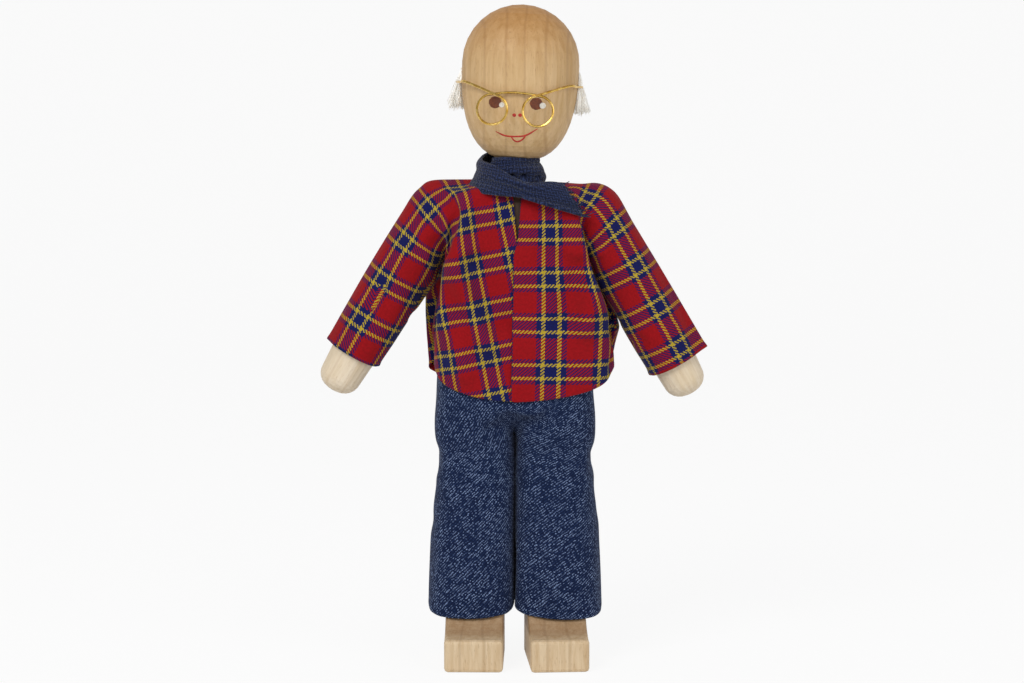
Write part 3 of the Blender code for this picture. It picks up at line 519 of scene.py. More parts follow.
def gauze():
    """Loose plain weave of thick blue cotton yarn; the gaps between the yarns are painted dark as shade."""
    material, add, shader, place = start_cloth("loose_woven_cotton", 0.95, 0.2)
    wobble = add("TexNoise", {"Vector": place, "Scale": 1 / 0.0012, "Detail": 2.0})
    shift = add("VectorMath", {0: wobble.outputs["Color"], 1: (0.5, 0.5, 0.5)}, operation="SUBTRACT")
    shift = add("VectorMath", {0: shift, "Scale": 0.0006}, operation="SCALE")
    place = add("VectorMath", {0: place, 1: shift}, operation="ADD")
    _, _, total, within = yarn_grid(add, place, 0.00062)
    inner = add("SeparateXYZ", {"Vector": within}).outputs
    over = add("Math", {0: total, 1: 2.0}, operation="FLOORED_MODULO")
    across = add("Mix", {"Factor": over, 2: inner["X"], 3: inner["Y"]})
    middle = add("Math", {0: across, 1: 0.5}, operation="SUBTRACT")
    edge = add("Math", {0: middle}, operation="ABSOLUTE")
    fibre = add("TexNoise", {"Vector": place, "Scale": 1 / 0.0002, "Detail": 2.0})
    height = add("Math", {0: fibre, 1: 0.35, 2: edge}, operation="MULTIPLY_ADD")
    # Darkest at the edges of each yarn: painted shade in the gaps between the yarns.
    tones = [(0.12, "#33426A"), (0.34, "#1A2444"), (0.58, "#090F26")]
    feed(shader, {"Base Color": add("ValToRGB", {"Fac": height}, tones),
                  "Normal": add("Bump", {"Strength": 0.8, "Distance": 0.0003, "Height": height}, invert=True)})
    return material


# Sewn clothes

def round_cell(i, j):
    """The grid points round one cell of cloth."""
    return (i, j), (i + 1, j), (i + 1, j + 1), (i, j + 1)


def cut_panels(columns, rows, holds, sewn, flat, split=lambda i, j: False):
    """Front and back cut from one pattern on the cloth grid, joined where they are sewn.

    holds(i, j, layer) says whether a cell is cloth, sewn(i, j) whether an edge point joins the layers,
    split(i, j) whether the pattern is cut along column 0 there, and flat(i, j, side) where the point
    lies in the cut cloth.
    """
    index = {}
    points = []
    faces = []
    homes = []

    def corner(i, j, layer, side):
        cut = split(i, j) and i == 0
        if sewn(i, j):
            layer = SEWN
        key = (i, j, layer, side if cut else 0)
        if key not in index:
            index[key] = len(points)
            points.append((*flat(i, j, key[3]), layer))
        return index[key]

    for layer in (FRONT, BACK):
        for i in range(-columns, columns):
            for j in range(rows):
                if holds(i + 0.5, j + 0.5, layer):
                    side = 1 if i >= 0 else -1
                    face = [corner(*point, layer, side) for point in round_cell(i, j)]
                    faces.append(face[::-1] if layer == FRONT else face)
                    homes.append((i, j, layer))
    return points, faces, homes


def superellipse(half_width, half_depth, squareness, count):
    ring = []
    for c, s in circle(count):
        reach = (abs(c) ** squareness + abs(s) ** squareness) ** (-1 / squareness)
        ring.append((half_width * reach * c, half_depth * reach * s))
    return ring


def add_form(name, vertices, faces, friction, opens=True):
    """A form that the cloth lies on. It starts flat between the two layers and opens them."""
    form = add_mesh(name, [Vector(v) * SIM_SCALE for v in vertices], faces)
    form.modifiers.new("collision", "COLLISION")
    form.collision.thickness_outer = FORM_OUTER
    form.collision.thickness_inner = FORM_INNER
    form.collision.cloth_friction = friction
    form.collision.use_culling = False
    for number, depth in ((1, FORM_FLAT), (OPEN_FRAME, 1.0)) if opens else ():
        form.scale = (1.0, depth, 1.0)
        form.keyframe_insert("scale", frame=number)
    return form


def loft(rings):
    """Vertices and faces of a closed form through rings of equal count, from the bottom up."""
    count = len(rings[0])
    caps = [tuple(range(count))[::-1], tuple(range((len(rings) - 1) * count, len(rings) * count))]
    return [point for ring in rings for point in ring], caps + quads(len(rings), count)


def block(levels, squareness, count=40, y=0.0, side=0):
    """A loft through levels of z, half width and half depth, and x where a side is off centre."""
    rings = []
    for z, half_width, half_depth, *off in levels:
        x = side * off[0] if off else 0.0
        rings.append([(x + a, y + b, z) for a, b in superellipse(half_width, half_depth, squareness, count)])
    return loft(rings)


def arm_form(name, side):
    """A round arm that starts straight out and comes down to where the doll's arm hangs."""
    radius, length = ARM_FORM_RADIUS, ARM_FORM_LENGTH
    quarter, pole = math.pi / 2, 0.05
    profile = [(radius * math.sin(a), -length - radius * math.cos(a)) for a in np.linspace(pole, quarter, 6)]
    profile += [(radius, -length * share) for share in (0.8, 0.6, 0.4, 0.2)]
    profile += [(radius * math.cos(a), radius * math.sin(a)) for a in np.linspace(0.0, quarter - pole, 6)]
    rings = [[(r * math.cos(t), r * math.sin(t), z) for t in np.linspace(0, 2 * math.pi, 20, endpoint=False)]
             for r, z in profile]
    form = add_form("arm_form", *loft(rings), STICKY)
    shoulder, arm = arm_line(name)
    form.location = shoulder * SIM_SCALE
    hang = arm.normalized()
    splay = math.atan2(side * hang.x, -hang.z)
    for number, angle in ((1, quarter), (ARMS_MOVE[0], quarter), (ARMS_MOVE[1], splay)):
        form.rotation_euler = (0.0, -side * angle, 0.0)
        form.keyframe_insert("rotation_euler", frame=number)
    return form


def drape(points, faces, top_z, forms, last_frame, pull, pinned=None):
    """Lets flat panels open over the forms and hang; returns the shape they come to, in metres."""
    scene = bpy.context.scene
    scene.gravity = pull
    lift = {FRONT: -CLOTH_GAP, BACK: CLOTH_GAP, SEWN: 0.0}
    start = [Vector((u, lift[layer], top_z - v)) * SIM_SCALE for u, v, layer in points]
    cloth = add_mesh("cloth", start, faces)
    modifier = cloth.modifiers.new("cloth", "CLOTH")
    settings = modifier.settings
    for name, value in CLOTH_SETTINGS.items():
        setattr(settings, name, value)
    collision = modifier.collision_settings
    collision.distance_min = CLOTH_DISTANCE
    collision.collision_quality = 2
    collision.use_self_collision = True
    collision.self_distance_min = CLOTH_DISTANCE
    if pinned:
        cloth.shape_key_add(name="flat")
        gathered = cloth.shape_key_add(name="gathered")
        group = cloth.vertex_groups.new(name="pinned")
        group.add(list(pinned), 1.0, "REPLACE")
        for vertex, place in pinned.items():
            gathered.data[vertex].co = Vector(place) * SIM_SCALE
        for number, value in ((1, 0.0), (OPEN_FRAME, 1.0)):
            gathered.value = value
            gathered.keyframe_insert("value", frame=number)
        settings.vertex_group_mass = "pinned"
    for number in range(1, last_frame + 1):
        scene.frame_set(number)
    graph = bpy.context.evaluated_depsgraph_get()
    shape = [vertex.co / SIM_SCALE for vertex in cloth.evaluated_get(graph).data.vertices]
    for thing in (cloth, *forms):
        remove(thing)
    scene.frame_set(1)
    return shape


def stand_off(shape, woods, gap=WOOD_GAP):
    """Moves cloth that touches or enters the wood out to just clear of it."""
    for node in woods:
        tree = surface_of(node)
        for place in shape:
            near, normal, _, distance = tree.find_nearest(place, WOOD_REACH)
            if near is None:
                continue
            inside = (place - near).dot(normal) < 0
            if inside or distance < gap:
                place[:] = near + (normal if inside or distance < 1e-6 else (place - near).normalized()) * gap


def relax(shape, faces, rounds):
    """Evens out small buckles; points on a free edge keep their places."""
    beside = {}
    uses = {}
    for face in faces:
        for a, b in zip(face, face[1:] + face[:1]):
            beside.setdefault(a, set()).add(b)
            beside.setdefault(b, set()).add(a)
            uses[frozenset((a, b))] = uses.get(frozenset((a, b)), 0) + 1
    held = {corner for edge, count in uses.items() if count == 1 for corner in edge}
    for _ in range(rounds):
        means = {k: sum((shape[n] for n in near), Vector()) / len(near)
                 for k, near in beside.items() if k not in held}
        for k, mean in means.items():
            shape[k] = shape[k].lerp(mean, 0.5)


def crease(shape, points):
    """Lifts and sinks the shirt's front along its creases and puffs out the doll's left side."""
    for place, (u, v, layer) in zip(shape, points):
        share = 1.0
        if layer == BACK:
            share = PUFF_BACK_SHARE + (1 - PUFF_BACK_SHARE) * smoothstep((u - PUFF_BACK_START) / PUFF_BACK_RUN)
        down = smoothstep((v - SLEEVE_DEPTH) / PUFF_DROP)
        place.x += SIDE_PUFF * share * down * smoothstep((u - PUFF_START) / PUFF_RUN)
        if layer != FRONT or abs(u) > SHIRT_HALF_WIDTH:
            continue
        for start, end, half_width, height in CREASES:
            a, b = Vector(start), Vector(end)
            spot = Vector((place.x, place.z))
            along = min(max((spot - a).dot(b - a) / (b - a).length_squared, 0.0), 1.0)
            off = (spot - a.lerp(b, along)).length / half_width
            place.y -= height * math.exp(-off * off)


def normals_of(vertices, faces):
    total = np.zeros((len(vertices), 3))
    place = np.array(vertices)
    for face in faces:
        normal = np.cross(place[face[2]] - place[face[0]], place[face[3]] - place[face[1]])
        for corner in face:
            total[corner] += normal
    return total / np.maximum(np.linalg.norm(total, axis=1, keepdims=True), 1e-12)


def turn_edges(vertices, faces, corner_uv, labels):
    """Folds the free edges of a sheet to the inside, so that they show the cloth's thickness."""
    place = np.array(vertices)
    normals = normals_of(vertices, faces)
    used = {}
    for number, face in enumerate(faces):
        for k in range(4):
            used.setdefault(frozenset((face[k], face[(k + 1) % 4])), []).append((number, k))
    inward = np.zeros_like(place)
    free = [found[0] for found in used.values() if len(found) == 1]
    for number, k in free:
        face = faces[number]
        a, b = face[k], face[(k + 1) % 4]
        direction = place[list(face)].mean(axis=0) - (place[a] + place[b]) / 2
        inward[a] += direction
        inward[b] += direction
    rim = {}
    for number, k in free:
        for corner in (faces[number][k], faces[number][(k + 1) % 4]):
            if corner in rim:
                continue
            direction = inward[corner] - normals[corner] * inward[corner].dot(normals[corner])
            direction /= max(np.linalg.norm(direction), 1e-12)
            rim[corner] = (len(vertices), len(vertices) + 1)
            under = place[corner] - normals[corner] * CLOTH_THICKNESS
            vertices += [Vector(under), Vector(under + direction * HEM_FOLD)]
    for number, k in free:
        a, b = faces[number][k], faces[number][(k + 1) % 4]
        uv_a, uv_b = corner_uv[number][k], corner_uv[number][(k + 1) % 4]
        out = (np.array(uv_a) + uv_b) / 2 - np.array(corner_uv[number]).mean(axis=0)
        out /= max(np.linalg.norm(out), 1e-12)
        under_a, fold_a = rim[a]
        under_b, fold_b = rim[b]
        reach = 0.0
        for face, width in (([b, a, under_a, under_b], CLOTH_THICKNESS),
                            ([under_b, under_a, fold_a, fold_b], HEM_FOLD)):
            faces.append(face)
            corner_uv.append([tuple(np.array(uv) + out * (reach + add))
                              for uv, add in ((uv_b, 0.0), (uv_a, 0.0), (uv_a, width), (uv_b, width))])
            reach += width
            labels.append(labels[number])


def sew_up(vertices, faces, corner_uv, labels, material):
    """One smooth cloth, parted into a piece per label; the pieces keep the whole cloth's shading."""
    names = sorted(set(labels))
    whole = add_mesh("whole_cloth", vertices, faces)
    map_cloth(whole, [uv for corners in corner_uv for uv in corners])
    for polygon, label in zip(whole.data.polygons, labels):
        polygon.material_index = names.index(label)
    smooth = whole.modifiers.new("smooth", "SUBSURF")
    smooth.levels = 1
    smooth.render_levels = 1
    smooth.uv_smooth = "NONE"
    mesh = settled(whole).data
    normals = [vertex.normal.copy() for vertex in mesh.vertices]
    layer = mesh.uv_layers["cloth"].data
    pieces = {}
    for number, name in enumerate(names):
        mine = [polygon for polygon in mesh.polygons if polygon.material_index == number]
        kept = sorted({corner for polygon in mine for corner in polygon.vertices})
        renumber = {old: new for new, old in enumerate(kept)}
        corners = [[renumber[corner] for corner in polygon.vertices] for polygon in mine]
        piece = add_mesh(name, [mesh.vertices[k].co for k in kept], corners, [material], True)
        map_cloth(piece, [layer[loop].uv for polygon in mine for loop in polygon.loop_indices])
        piece.data.normals_split_custom_set_from_vertices([normals[k] for k in kept])
        pieces[name] = piece
    remove(whole)
    return pieces


def flat_area(corner_uv, labels, label):
    """Area of the cut cloth behind one label, in square metres."""
    total = 0.0
    for corners, mark in zip(corner_uv, labels):
        if mark == label:
            (a, b), (c, d), (e, f), (g, h) = corners
            total += abs((e - a) * (h - d) - (g - c) * (f - b)) / 2
    return total


def make_trousers(material):
    """The trouser pieces, their cut areas, the heights where they part, and the whole cloth under the shirt."""
    columns = round(HEM_HALF_WIDTH / CELL)
    rows = round(TROUSER_LENGTH / CELL)
    crotch = round(CROTCH_DROP / CELL)
    edge = columns * CELL

    def sewn(i, j):
        return abs(i) == columns or (i == 0 and j > crotch)

    def flat(i, j, side):
        half = WAIST_HALF_WIDTH + (HEM_HALF_WIDTH - WAIST_HALF_WIDTH) * j / rows
        length = TROUSER_LENGTH - TROUSER_HEM_RISE * (2 * abs(i) / columns - 1) ** 2
        drop = j * (TROUSER_LENGTH + (length - TROUSER_LENGTH) * j / rows) / rows
        return i * CELL * half / edge + side * LEG_SPLIT, drop

    points, faces, homes = cut_panels(columns, rows, lambda i, j, layer: True, sewn, flat,
                                      lambda i, j: j > crotch)
    waist = superellipse(*WAIST_HALF, 4.0, WAIST_STEPS)
    pinned = {}
    for number, (u, v, layer) in enumerate(points):
        if v == 0.0:
            share = u / WAIST_HALF_WIDTH
            turn = math.pi / 2 * (share if layer != BACK else 2 - share) - math.pi / 2
            x, y = waist[round(turn / (2 * math.pi) * WAIST_STEPS) % WAIST_STEPS]
            pinned[number] = (x, y, TROUSER_TOP_Z - WAIST_TUCK)
    legs = [add_form("hip_form", *block(HIP_LEVELS, 4.0), SLIPPERY)]
    legs += [add_form("leg_form", *block(LEG_LEVELS, 3.0, 32, side=side), SLIPPERY) for name, side in SIDES]
    shape = drape(points, faces, TROUSER_TOP_Z, legs, TROUSER_FRAMES, TROUSER_PULL, pinned)
    for place in shape:
        gap = LEG_INNER_X * smoothstep((TROUSER_TOP_Z - LEG_CLOSE_DROP - place.z) / LEG_CLOSE_RUN)
        place.x -= math.copysign(gap * max(1 - (abs(place.x) - gap) / LEG_OUTER_X, 0.0), place.x)
        outer = smoothstep((LEG_SPREAD_Z - place.z) / LEG_SPREAD_RUN) * smoothstep(abs(place.x) / LEG_OUTER_X)
        place.x += math.copysign(LEG_SPREAD * outer, place.x)
    relax(shape, faces, 5)
    stand_off(shape, [nodes[f"{part}_{name}"] for part in ("thigh", "lower_leg") for name, side in SIDES]
              + [nodes["torso"], nodes["waist_elastic"]], TROUSER_EASE)

    corner_uv = [[points[corner][:2] for corner in face] for face in faces]
    seat = round(SEAT_DROP / CELL)
    knee = round(KNEE_DROP / CELL)
    labels = []
    for i, j, layer in homes:
        part = f"trouser_{'thigh' if j < knee else 'shin'}_{'left' if i >= 0 else 'right'}"
        labels.append("trousers_waist" if j < seat else part)
    borders = [min(shape[c].z for face, home in zip(faces, homes) if home[1] == row - 1 for c in face)
               for row in (seat, knee)]
    body = ([v.copy() for v in shape], [list(f) for f in faces])
    inner = [place - Vector(normal) * GUSSET_DEPTH for place, normal in zip(shape, normals_of(shape, faces))]
    strip = [k for k, (i, j, layer) in enumerate(homes)
             if -GUSSET_CELLS <= i < GUSSET_CELLS and seat <= j < crotch]
    gusset = ([list(faces[k]) for k in strip], [list(corner_uv[k]) for k in strip],
              ["trousers_gusset"] * len(strip))
    turn_edges(shape, faces, corner_uv, labels)
    areas = {label: flat_area(corner_uv, labels, label) for label in set(labels)}
    areas["trousers_gusset"] = flat_area(*gusset[1:], "trousers_gusset")
    pieces = sew_up(shape, faces, corner_uv, labels, material) | sew_up(inner, *gusset, material)
    return pieces, areas, borders, body


def armhole_way(side):
    """The way out of the armhole, square to the sloping seam from the shoulder to the armpit."""
    return Vector((side * math.cos(ARMHOLE_LEAN), 0.0, math.sin(ARMHOLE_LEAN)))


def make_shirt(material, trousers):
    """The shirt pieces, their cut areas, and on each side where the sleeve starts and parts at the elbow."""
    columns = round(SLEEVE_REACH / CELL)
    rows = round(SHIRT_LENGTH / CELL)
    sleeve = round(SLEEVE_DEPTH / CELL)
    half = round(SHIRT_HALF_WIDTH / CELL)

    def holds(i, j, layer):
        u, v = abs(i) * CELL, j * CELL
        if (u / NECK_HALF_WIDTH) ** 2 + (v / NECK_DROP[layer]) ** 2 < 1:
            return False
        return j < sleeve or abs(i) < half

    def sewn(i, j):
        shoulder = j == 0 and abs(i) * CELL >= NECK_HALF_WIDTH - NECK_SEAM_SLACK
        underarm = j == sleeve and half <= abs(i) < columns
        return shoulder or underarm or (abs(i) == half and j > sleeve)

    def flat(i, j, side):
        u, v = i * CELL, j * CELL
        if abs(i) > half and j <= sleeve:
            v *= 1 + (CUFF_DEPTH / SLEEVE_DEPTH - 1) * (abs(i) - half) / (columns - half)
        if v > TAIL_TOP:
            end = SHIRT_LENGTH - TAIL_RISE * (abs(i) / half) ** 2
            v = TAIL_TOP + (v - TAIL_TOP) * (end - TAIL_TOP) / (rows * CELL - TAIL_TOP)
        return u, v

    points, faces, homes = cut_panels(columns, rows, holds, sewn, flat)
    forms = [add_form("torso_form", *block(TORSO_LEVELS, 8.0), SMOOTH),
             add_form("neck_form", *block(NECK_LEVELS, 2.0, 24), SMOOTH),
             add_form("trouser_form", *trousers, STICKY),
             add_form("table_form", *block(TABLE_LEVELS, 12.0, y=BACK_LIES_Y + TABLE_LEVELS[0][2]), ROUGH,
                      opens=False)]
    for name, side in SIDES:
        forms.append(arm_form(name, side))
        top = SHOULDER_POINT_Z[name]
        levels = ((SHOULDER_Z, 0.0028, 0.0034, SHOULDER_X),
                  (top - SHOULDER_ROUNDING, 0.0028, 0.0018, SHOULDER_X), (top, 0.0020, 0.0008, SHOULDER_X))
        forms.append(add_form("shoulder_form", *block(levels, 3.0, 24, side=side), SMOOTH))
    shape = drape(points, faces, SHIRT_TOP_Z, forms, SHIRT_FRAMES, SHIRT_PULL)

    elbow = round(ELBOW_REACH / CELL)
    labels = []
    corner_uv = []
    for face, (i, j, layer) in zip(faces, homes):
        side, name, reach = (1, "left", i) if i >= 0 else (-1, "right", -i - 1)
        way = armhole_way(side)
        armhole = ARMHOLE_REACH + ARMPIT_Z * way.z
        label = "shirt_trunk"
        if reach >= elbow:
            label = f"sleeve_lower_{name}"
        elif j < sleeve and reach > elbow / 4 and min(shape[c].dot(way) for c in face) >= armhole:
            label = f"sleeve_upper_{name}"
        elif layer == FRONT and max(shape[c].z for c in face) < TAIL_HINGE_Z:
            label = f"shirt_tail_{name}"
        labels.append(label)
        corners = [points[corner][:2] for corner in face]
        if layer == FRONT and side < 0:
            for k, (u, v) in enumerate(corners):
                inward = smoothstep((u + TILT_INWARD) / TILT_INWARD_RUN)
                near = max(inward, smoothstep((v - TILT_DOWN) / TILT_DOWN_RUN))
                across, down = u - TILT_SPOT[0], v - TILT_SPOT[1]
                corners[k] = (u - PANEL_TILT * down * near, v + PANEL_TILT * across * near)
        corner_uv.append(corners)
    relax(shape, faces, 2)
    crease(shape, points)
    stand_off(shape, [nodes["torso"]])
    stand_off(shape, [nodes[f"{part}_{name}"] for part in ("upper_arm", "forearm", "shoulder_peg")
                      for name, side in SIDES], ARM_EASE)
    open_front(shape, faces, homes)
    borders = {}
    for name, side in SIDES:
        trunk, upper, lower = [{c for face, label in zip(faces, labels) if label == part for c in face}
                               for part in ("shirt_trunk", f"sleeve_upper_{name}", f"sleeve_lower_{name}")]
        shoulder, arm = arm_line(name)
        borders[name] = (max(shape[c].dot(armhole_way(side)) for c in upper & trunk),
                         max((shape[c] - shoulder).dot(arm.normalized()) for c in upper & lower))
    turn_edges(shape, faces, corner_uv, labels)
    areas = {label: flat_area(corner_uv, labels, label) for label in set(labels)}
    return sew_up(shape, faces, corner_uv, labels, material), areas, borders


def open_front(shape, faces, homes):
    """Parts the front down the middle: a V at the neck, and below it one panel lapped over the other."""
    normals = normals_of(shape, faces)
    edge = {}
    moves = {}
    for number, (face, (i, j, layer)) in enumerate(zip(faces, homes)):
        if layer != FRONT or not -SLIT_CELLS <= i < SLIT_CELLS:
            continue
        for corner, (a, b) in zip(face[::-1], round_cell(i, j)):
            v = b * CELL
            side = 1 if i >= 0 else -1
            near = 1 - abs(a) / SLIT_CELLS
            spread = SLIT_WIDTH / 2 * max(1 - v / SLIT_DEPTH, 0.0) * near
            lap = smoothstep((v - SLIT_DEPTH) / LAP_RUN) * near
            move = Vector((side * spread, 0.0, 0.0))
            if side > 0:
                move.x -= LAP * lap
                move += Vector(normals[corner]) * LAP_LIFT * lap**2
            moves[(corner, side if a == 0 else 0)] = move
            if a == 0 and side < 0:
                edge.setdefault(corner, []).append(number)
    for corner, owners in edge.items():
        other = len(shape)
        shape.append(shape[corner] + moves[(corner, -1)])
        for number in owners:
            faces[number] = [other if k == corner else k for k in faces[number]]
    for (corner, side), move in moves.items():
        if side >= 0:
            shape[corner] += move


def line_sleeve(name, part, material):
    """A snug cotton tube inside the sleeve, which covers the arm where the loose sleeve lifts off it.

    On the upper arm it also closes over the rounded knuckle, past the slot that the forearm turns in.
    """
    shoulder, arm = arm_line(name)
    along = arm.normalized()
    front = Vector((0, -1, 0))
    across = front.cross(along)
    surface = surface_of(nodes[f"{part}_{name}"])
    start, end = LININGS[part]
    knuckle = part == "upper_arm"
    stations = list(np.linspace(start, arm.length - KNUCKLE_START if knuckle else end, LINING_ROWS[part]))
    if knuckle:
        stations += list(arm.length + KNUCKLE_RADIUS * np.sin(np.radians(KNUCKLE_TURNS)))
    stations = [float(t) for t in stations]
    girth = 0.0
    vertices = []
    for t in stations:
        centre = shoulder + along * t
        past = max(t - arm.length, 0.0)
        height = math.sqrt(KNUCKLE_RADIUS ** 2 - past ** 2) if past < KNUCKLE_RADIUS else ARM_RADIUS
        ring = []
        for c, s in circle(LINING_COUNT):
            out = front * c + across * s
            whole = not knuckle or t < ELBOW_SLOT_TOP
            spot = surface.ray_cast(centre + out * OUTSIDE_ARM, -out)[0] if whole else None
            width = min(ARM_RADIUS, height / max(abs(c), 0.02))
            ring.append((spot or centre + out * width) + out * LINING_GAP)
        girth = max(girth, sum((a - b).length for a, b in zip(ring, ring[1:] + ring[:1])))
        vertices += ring
    faces = quads(len(stations), LINING_COUNT)
    corner_uv = [[(b / LINING_COUNT * girth, t) for b, t in ((k, low), (k + 1, low), (k + 1, high), (k, high))]
                 for low, high in zip(stations, stations[1:]) for k in range(LINING_COUNT)]
    if Vector(normals_of(vertices, faces)[0]).dot(front) < 0:
        faces = [face[::-1] for face in faces]
        corner_uv = [corners[::-1] for corners in corner_uv]
    label = f"lining_{part}_{name}"
    lining = sew_up(vertices, faces, corner_uv, [label] * len(faces), material)[label]
    return lining, girth, girth * (end - start)


# Head

def head_frame():
    """The head's own axes: up its turned axis, with the face along -Y."""
    neck = joints["neck_turn"]
    lean = Vector((0, 0, 1)).rotation_difference(Vector(neck["axis"])).to_matrix().to_4x4()
    return Matrix.Translation(neck["pos_m"]) @ lean @ Matrix.Rotation(HEAD_TURN, 4, "Z")


def paint_face():
    """Eyes, nose and mouth as brushed dabs that stand a little proud of the wood."""
    place = head_frame()
    aim = place.to_3x3() @ Vector((0, 1, 0))
    surface = surface_of(nodes["head"])
    vertices = []
    faces = []
    colours = []

    def point(x, height, lift):
        start = place @ Vector((x, -OUTSIDE_HEAD, NECK_TO_CHIN + height))
        spot, normal, _, _ = surface.ray_cast(start, aim)
        vertices.append(spot + normal * lift)
        return len(vertices) - 1

    def dab(x, height, half_width, half_height, colour, layers, count=28):
        thick = layers * PAINT_THICKNESS
        wobble = random.Random(round(abs(x) * 1e6) + colour)
        shares = [1 + wobble.uniform(-DAB_WOBBLE, DAB_WOBBLE) for _ in range(count)]
        last = [point(x, height, thick)]
        for reach, lift in DAB_SECTION:
            wide, high = half_width * reach, half_height * reach
            ring = [point(x + wide * share * c, height + high * share * s, thick * lift)
                    for share, (c, s) in zip(shares, circle(count))]
            for k in range(count):
                n = (k + 1) % count
                rim = (ring[k], ring[n])
                faces.append((last[0], *rim) if len(last) == 1 else (last[k], *rim, last[n]))
                colours.append(colour)
            last = ring

    def stroke(path, half_width, colour):
        curve = smooth_curve([Vector((x, 0, h)) for x, h in path], 10)
        rows = []
        for k, spot in enumerate(curve):
            along = curve[min(k + 1, len(curve) - 1)] - curve[max(k - 1, 0)]
            across = Vector((-along.z, 0, along.x)).normalized()
            end = min(k, len(curve) - 1 - k) / 6
            width = half_width * (STROKE_TIP + (1 - STROKE_TIP) * min(end, 1.0))
            wide, high = across.x * width, across.z * width
            rows.append([point(spot.x + wide * t, spot.z + high * t, PAINT_THICKNESS * lift)
                         for t, lift in STROKE_SECTION])
        for a, b in zip(rows, rows[1:]):
            for k in range(4):
                faces.append((a[k], b[k], b[k + 1], a[k + 1]))
                colours.append(colour)

    for mark in DABS:
        dab(*mark)
    for path, half_width in (MOUTH, TONGUE):
        stroke(path, half_width, RED)
    face = add_mesh("painted_face", vertices, faces, [
        paint("brown_enamel", "#7A3A12", "#5A260C", 0.4), paint("white_enamel", "#F2EEE4", "#DCD6C8", 0.3),
        paint("red_enamel", "#C22A1C", "#A21C14", 0.4)], True)
    for polygon, colour in zip(face.data.polygons, colours):
        polygon.material_index = colour
    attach(face, "head")


def smooth_curve(points, steps):
    """A smooth curve through all the points."""
    ends = [2 * points[0] - points[1], *points, 2 * points[-1] - points[-2]]
    curve = []
    for a, b, c, d in zip(ends, ends[1:], ends[2:], ends[3:]):
        for k in range(steps):
            t = k / steps
            bow = (2 * a - 5 * b + 4 * c - d) * t**2
            curve.append(0.5 * (2 * b + (c - a) * t + bow + (3 * b - a - 3 * c + d) * t**3))
    return [*curve, points[-1]]


def tubes(name, strands, sides, material):
    """One mesh of tapering tubes; a strand is a list of (point, radius)."""
    vertices = []
    faces = []
    for strand in strands:
        start = len(vertices)
        for k, (spot, radius) in enumerate(strand):
            along = (strand[min(k + 1, len(strand) - 1)][0] - strand[max(k - 1, 0)][0]).normalized()
            first = along.orthogonal().normalized()
            second = along.cross(first)
            vertices += [spot + radius * (first * c + second * s) for c, s in circle(sides)]
        faces += quads(len(strand), sides, start=start)
        faces += [range(end + sides - 1, end - 1, -1) for end in (len(vertices) - sides, start)]
    return add_mesh(name, vertices, faces, [material], True)


def comb_hair():
    """Combed wool fibres glued in a line round the back of the head, flaring out at the cut ends."""
    chance = random.Random(7)
    place = head_frame()
    surface = surface_of(nodes["head"])
    strands = []
    for _ in range(HAIR_COUNT):
        angle = math.radians(chance.uniform(*HAIR_ARC))
        top = HAIR_TOP - chance.uniform(0.0, HAIR_UNEVEN)
        bottom = HAIR_BOTTOM + chance.gauss(0.0, HAIR_CUT_SPREAD)
        spread = HAIR_BACK_FLARE + (1 - HAIR_BACK_FLARE) * abs(math.cos(angle))
        flare = HAIR_FLARE * spread * chance.uniform(HAIR_FLARE_LEAST, 1.0)
        drift = chance.gauss(0.0, HAIR_DRIFT)
        curl = chance.uniform(-HAIR_CURL, HAIR_CURL)
        strand = []
        for k in range(HAIR_STEPS + 1):
            share = k / HAIR_STEPS
            turn = angle + drift * share
            out = Vector((math.cos(turn), math.sin(turn), 0))
            height = top + (bottom - top) * share
            start = place @ (out * OUTSIDE_HEAD + Vector((0, 0, NECK_TO_CHIN + height)))
            away = place.to_3x3() @ out
            lift = HAIR_GLUE + flare * share**1.2 + curl * math.sin(HAIR_CURL_TURN * share)
            spot = surface.ray_cast(start, -away)[0] + away * lift
            strand.append((spot, HAIR_RADIUS * (1.1 - 0.6 * share)))
        strands.append(strand)
    hair = tubes("wool_hair", strands, 3, wool())
    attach(hair, "head")
    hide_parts("hair_fringe")


# Neckerchief

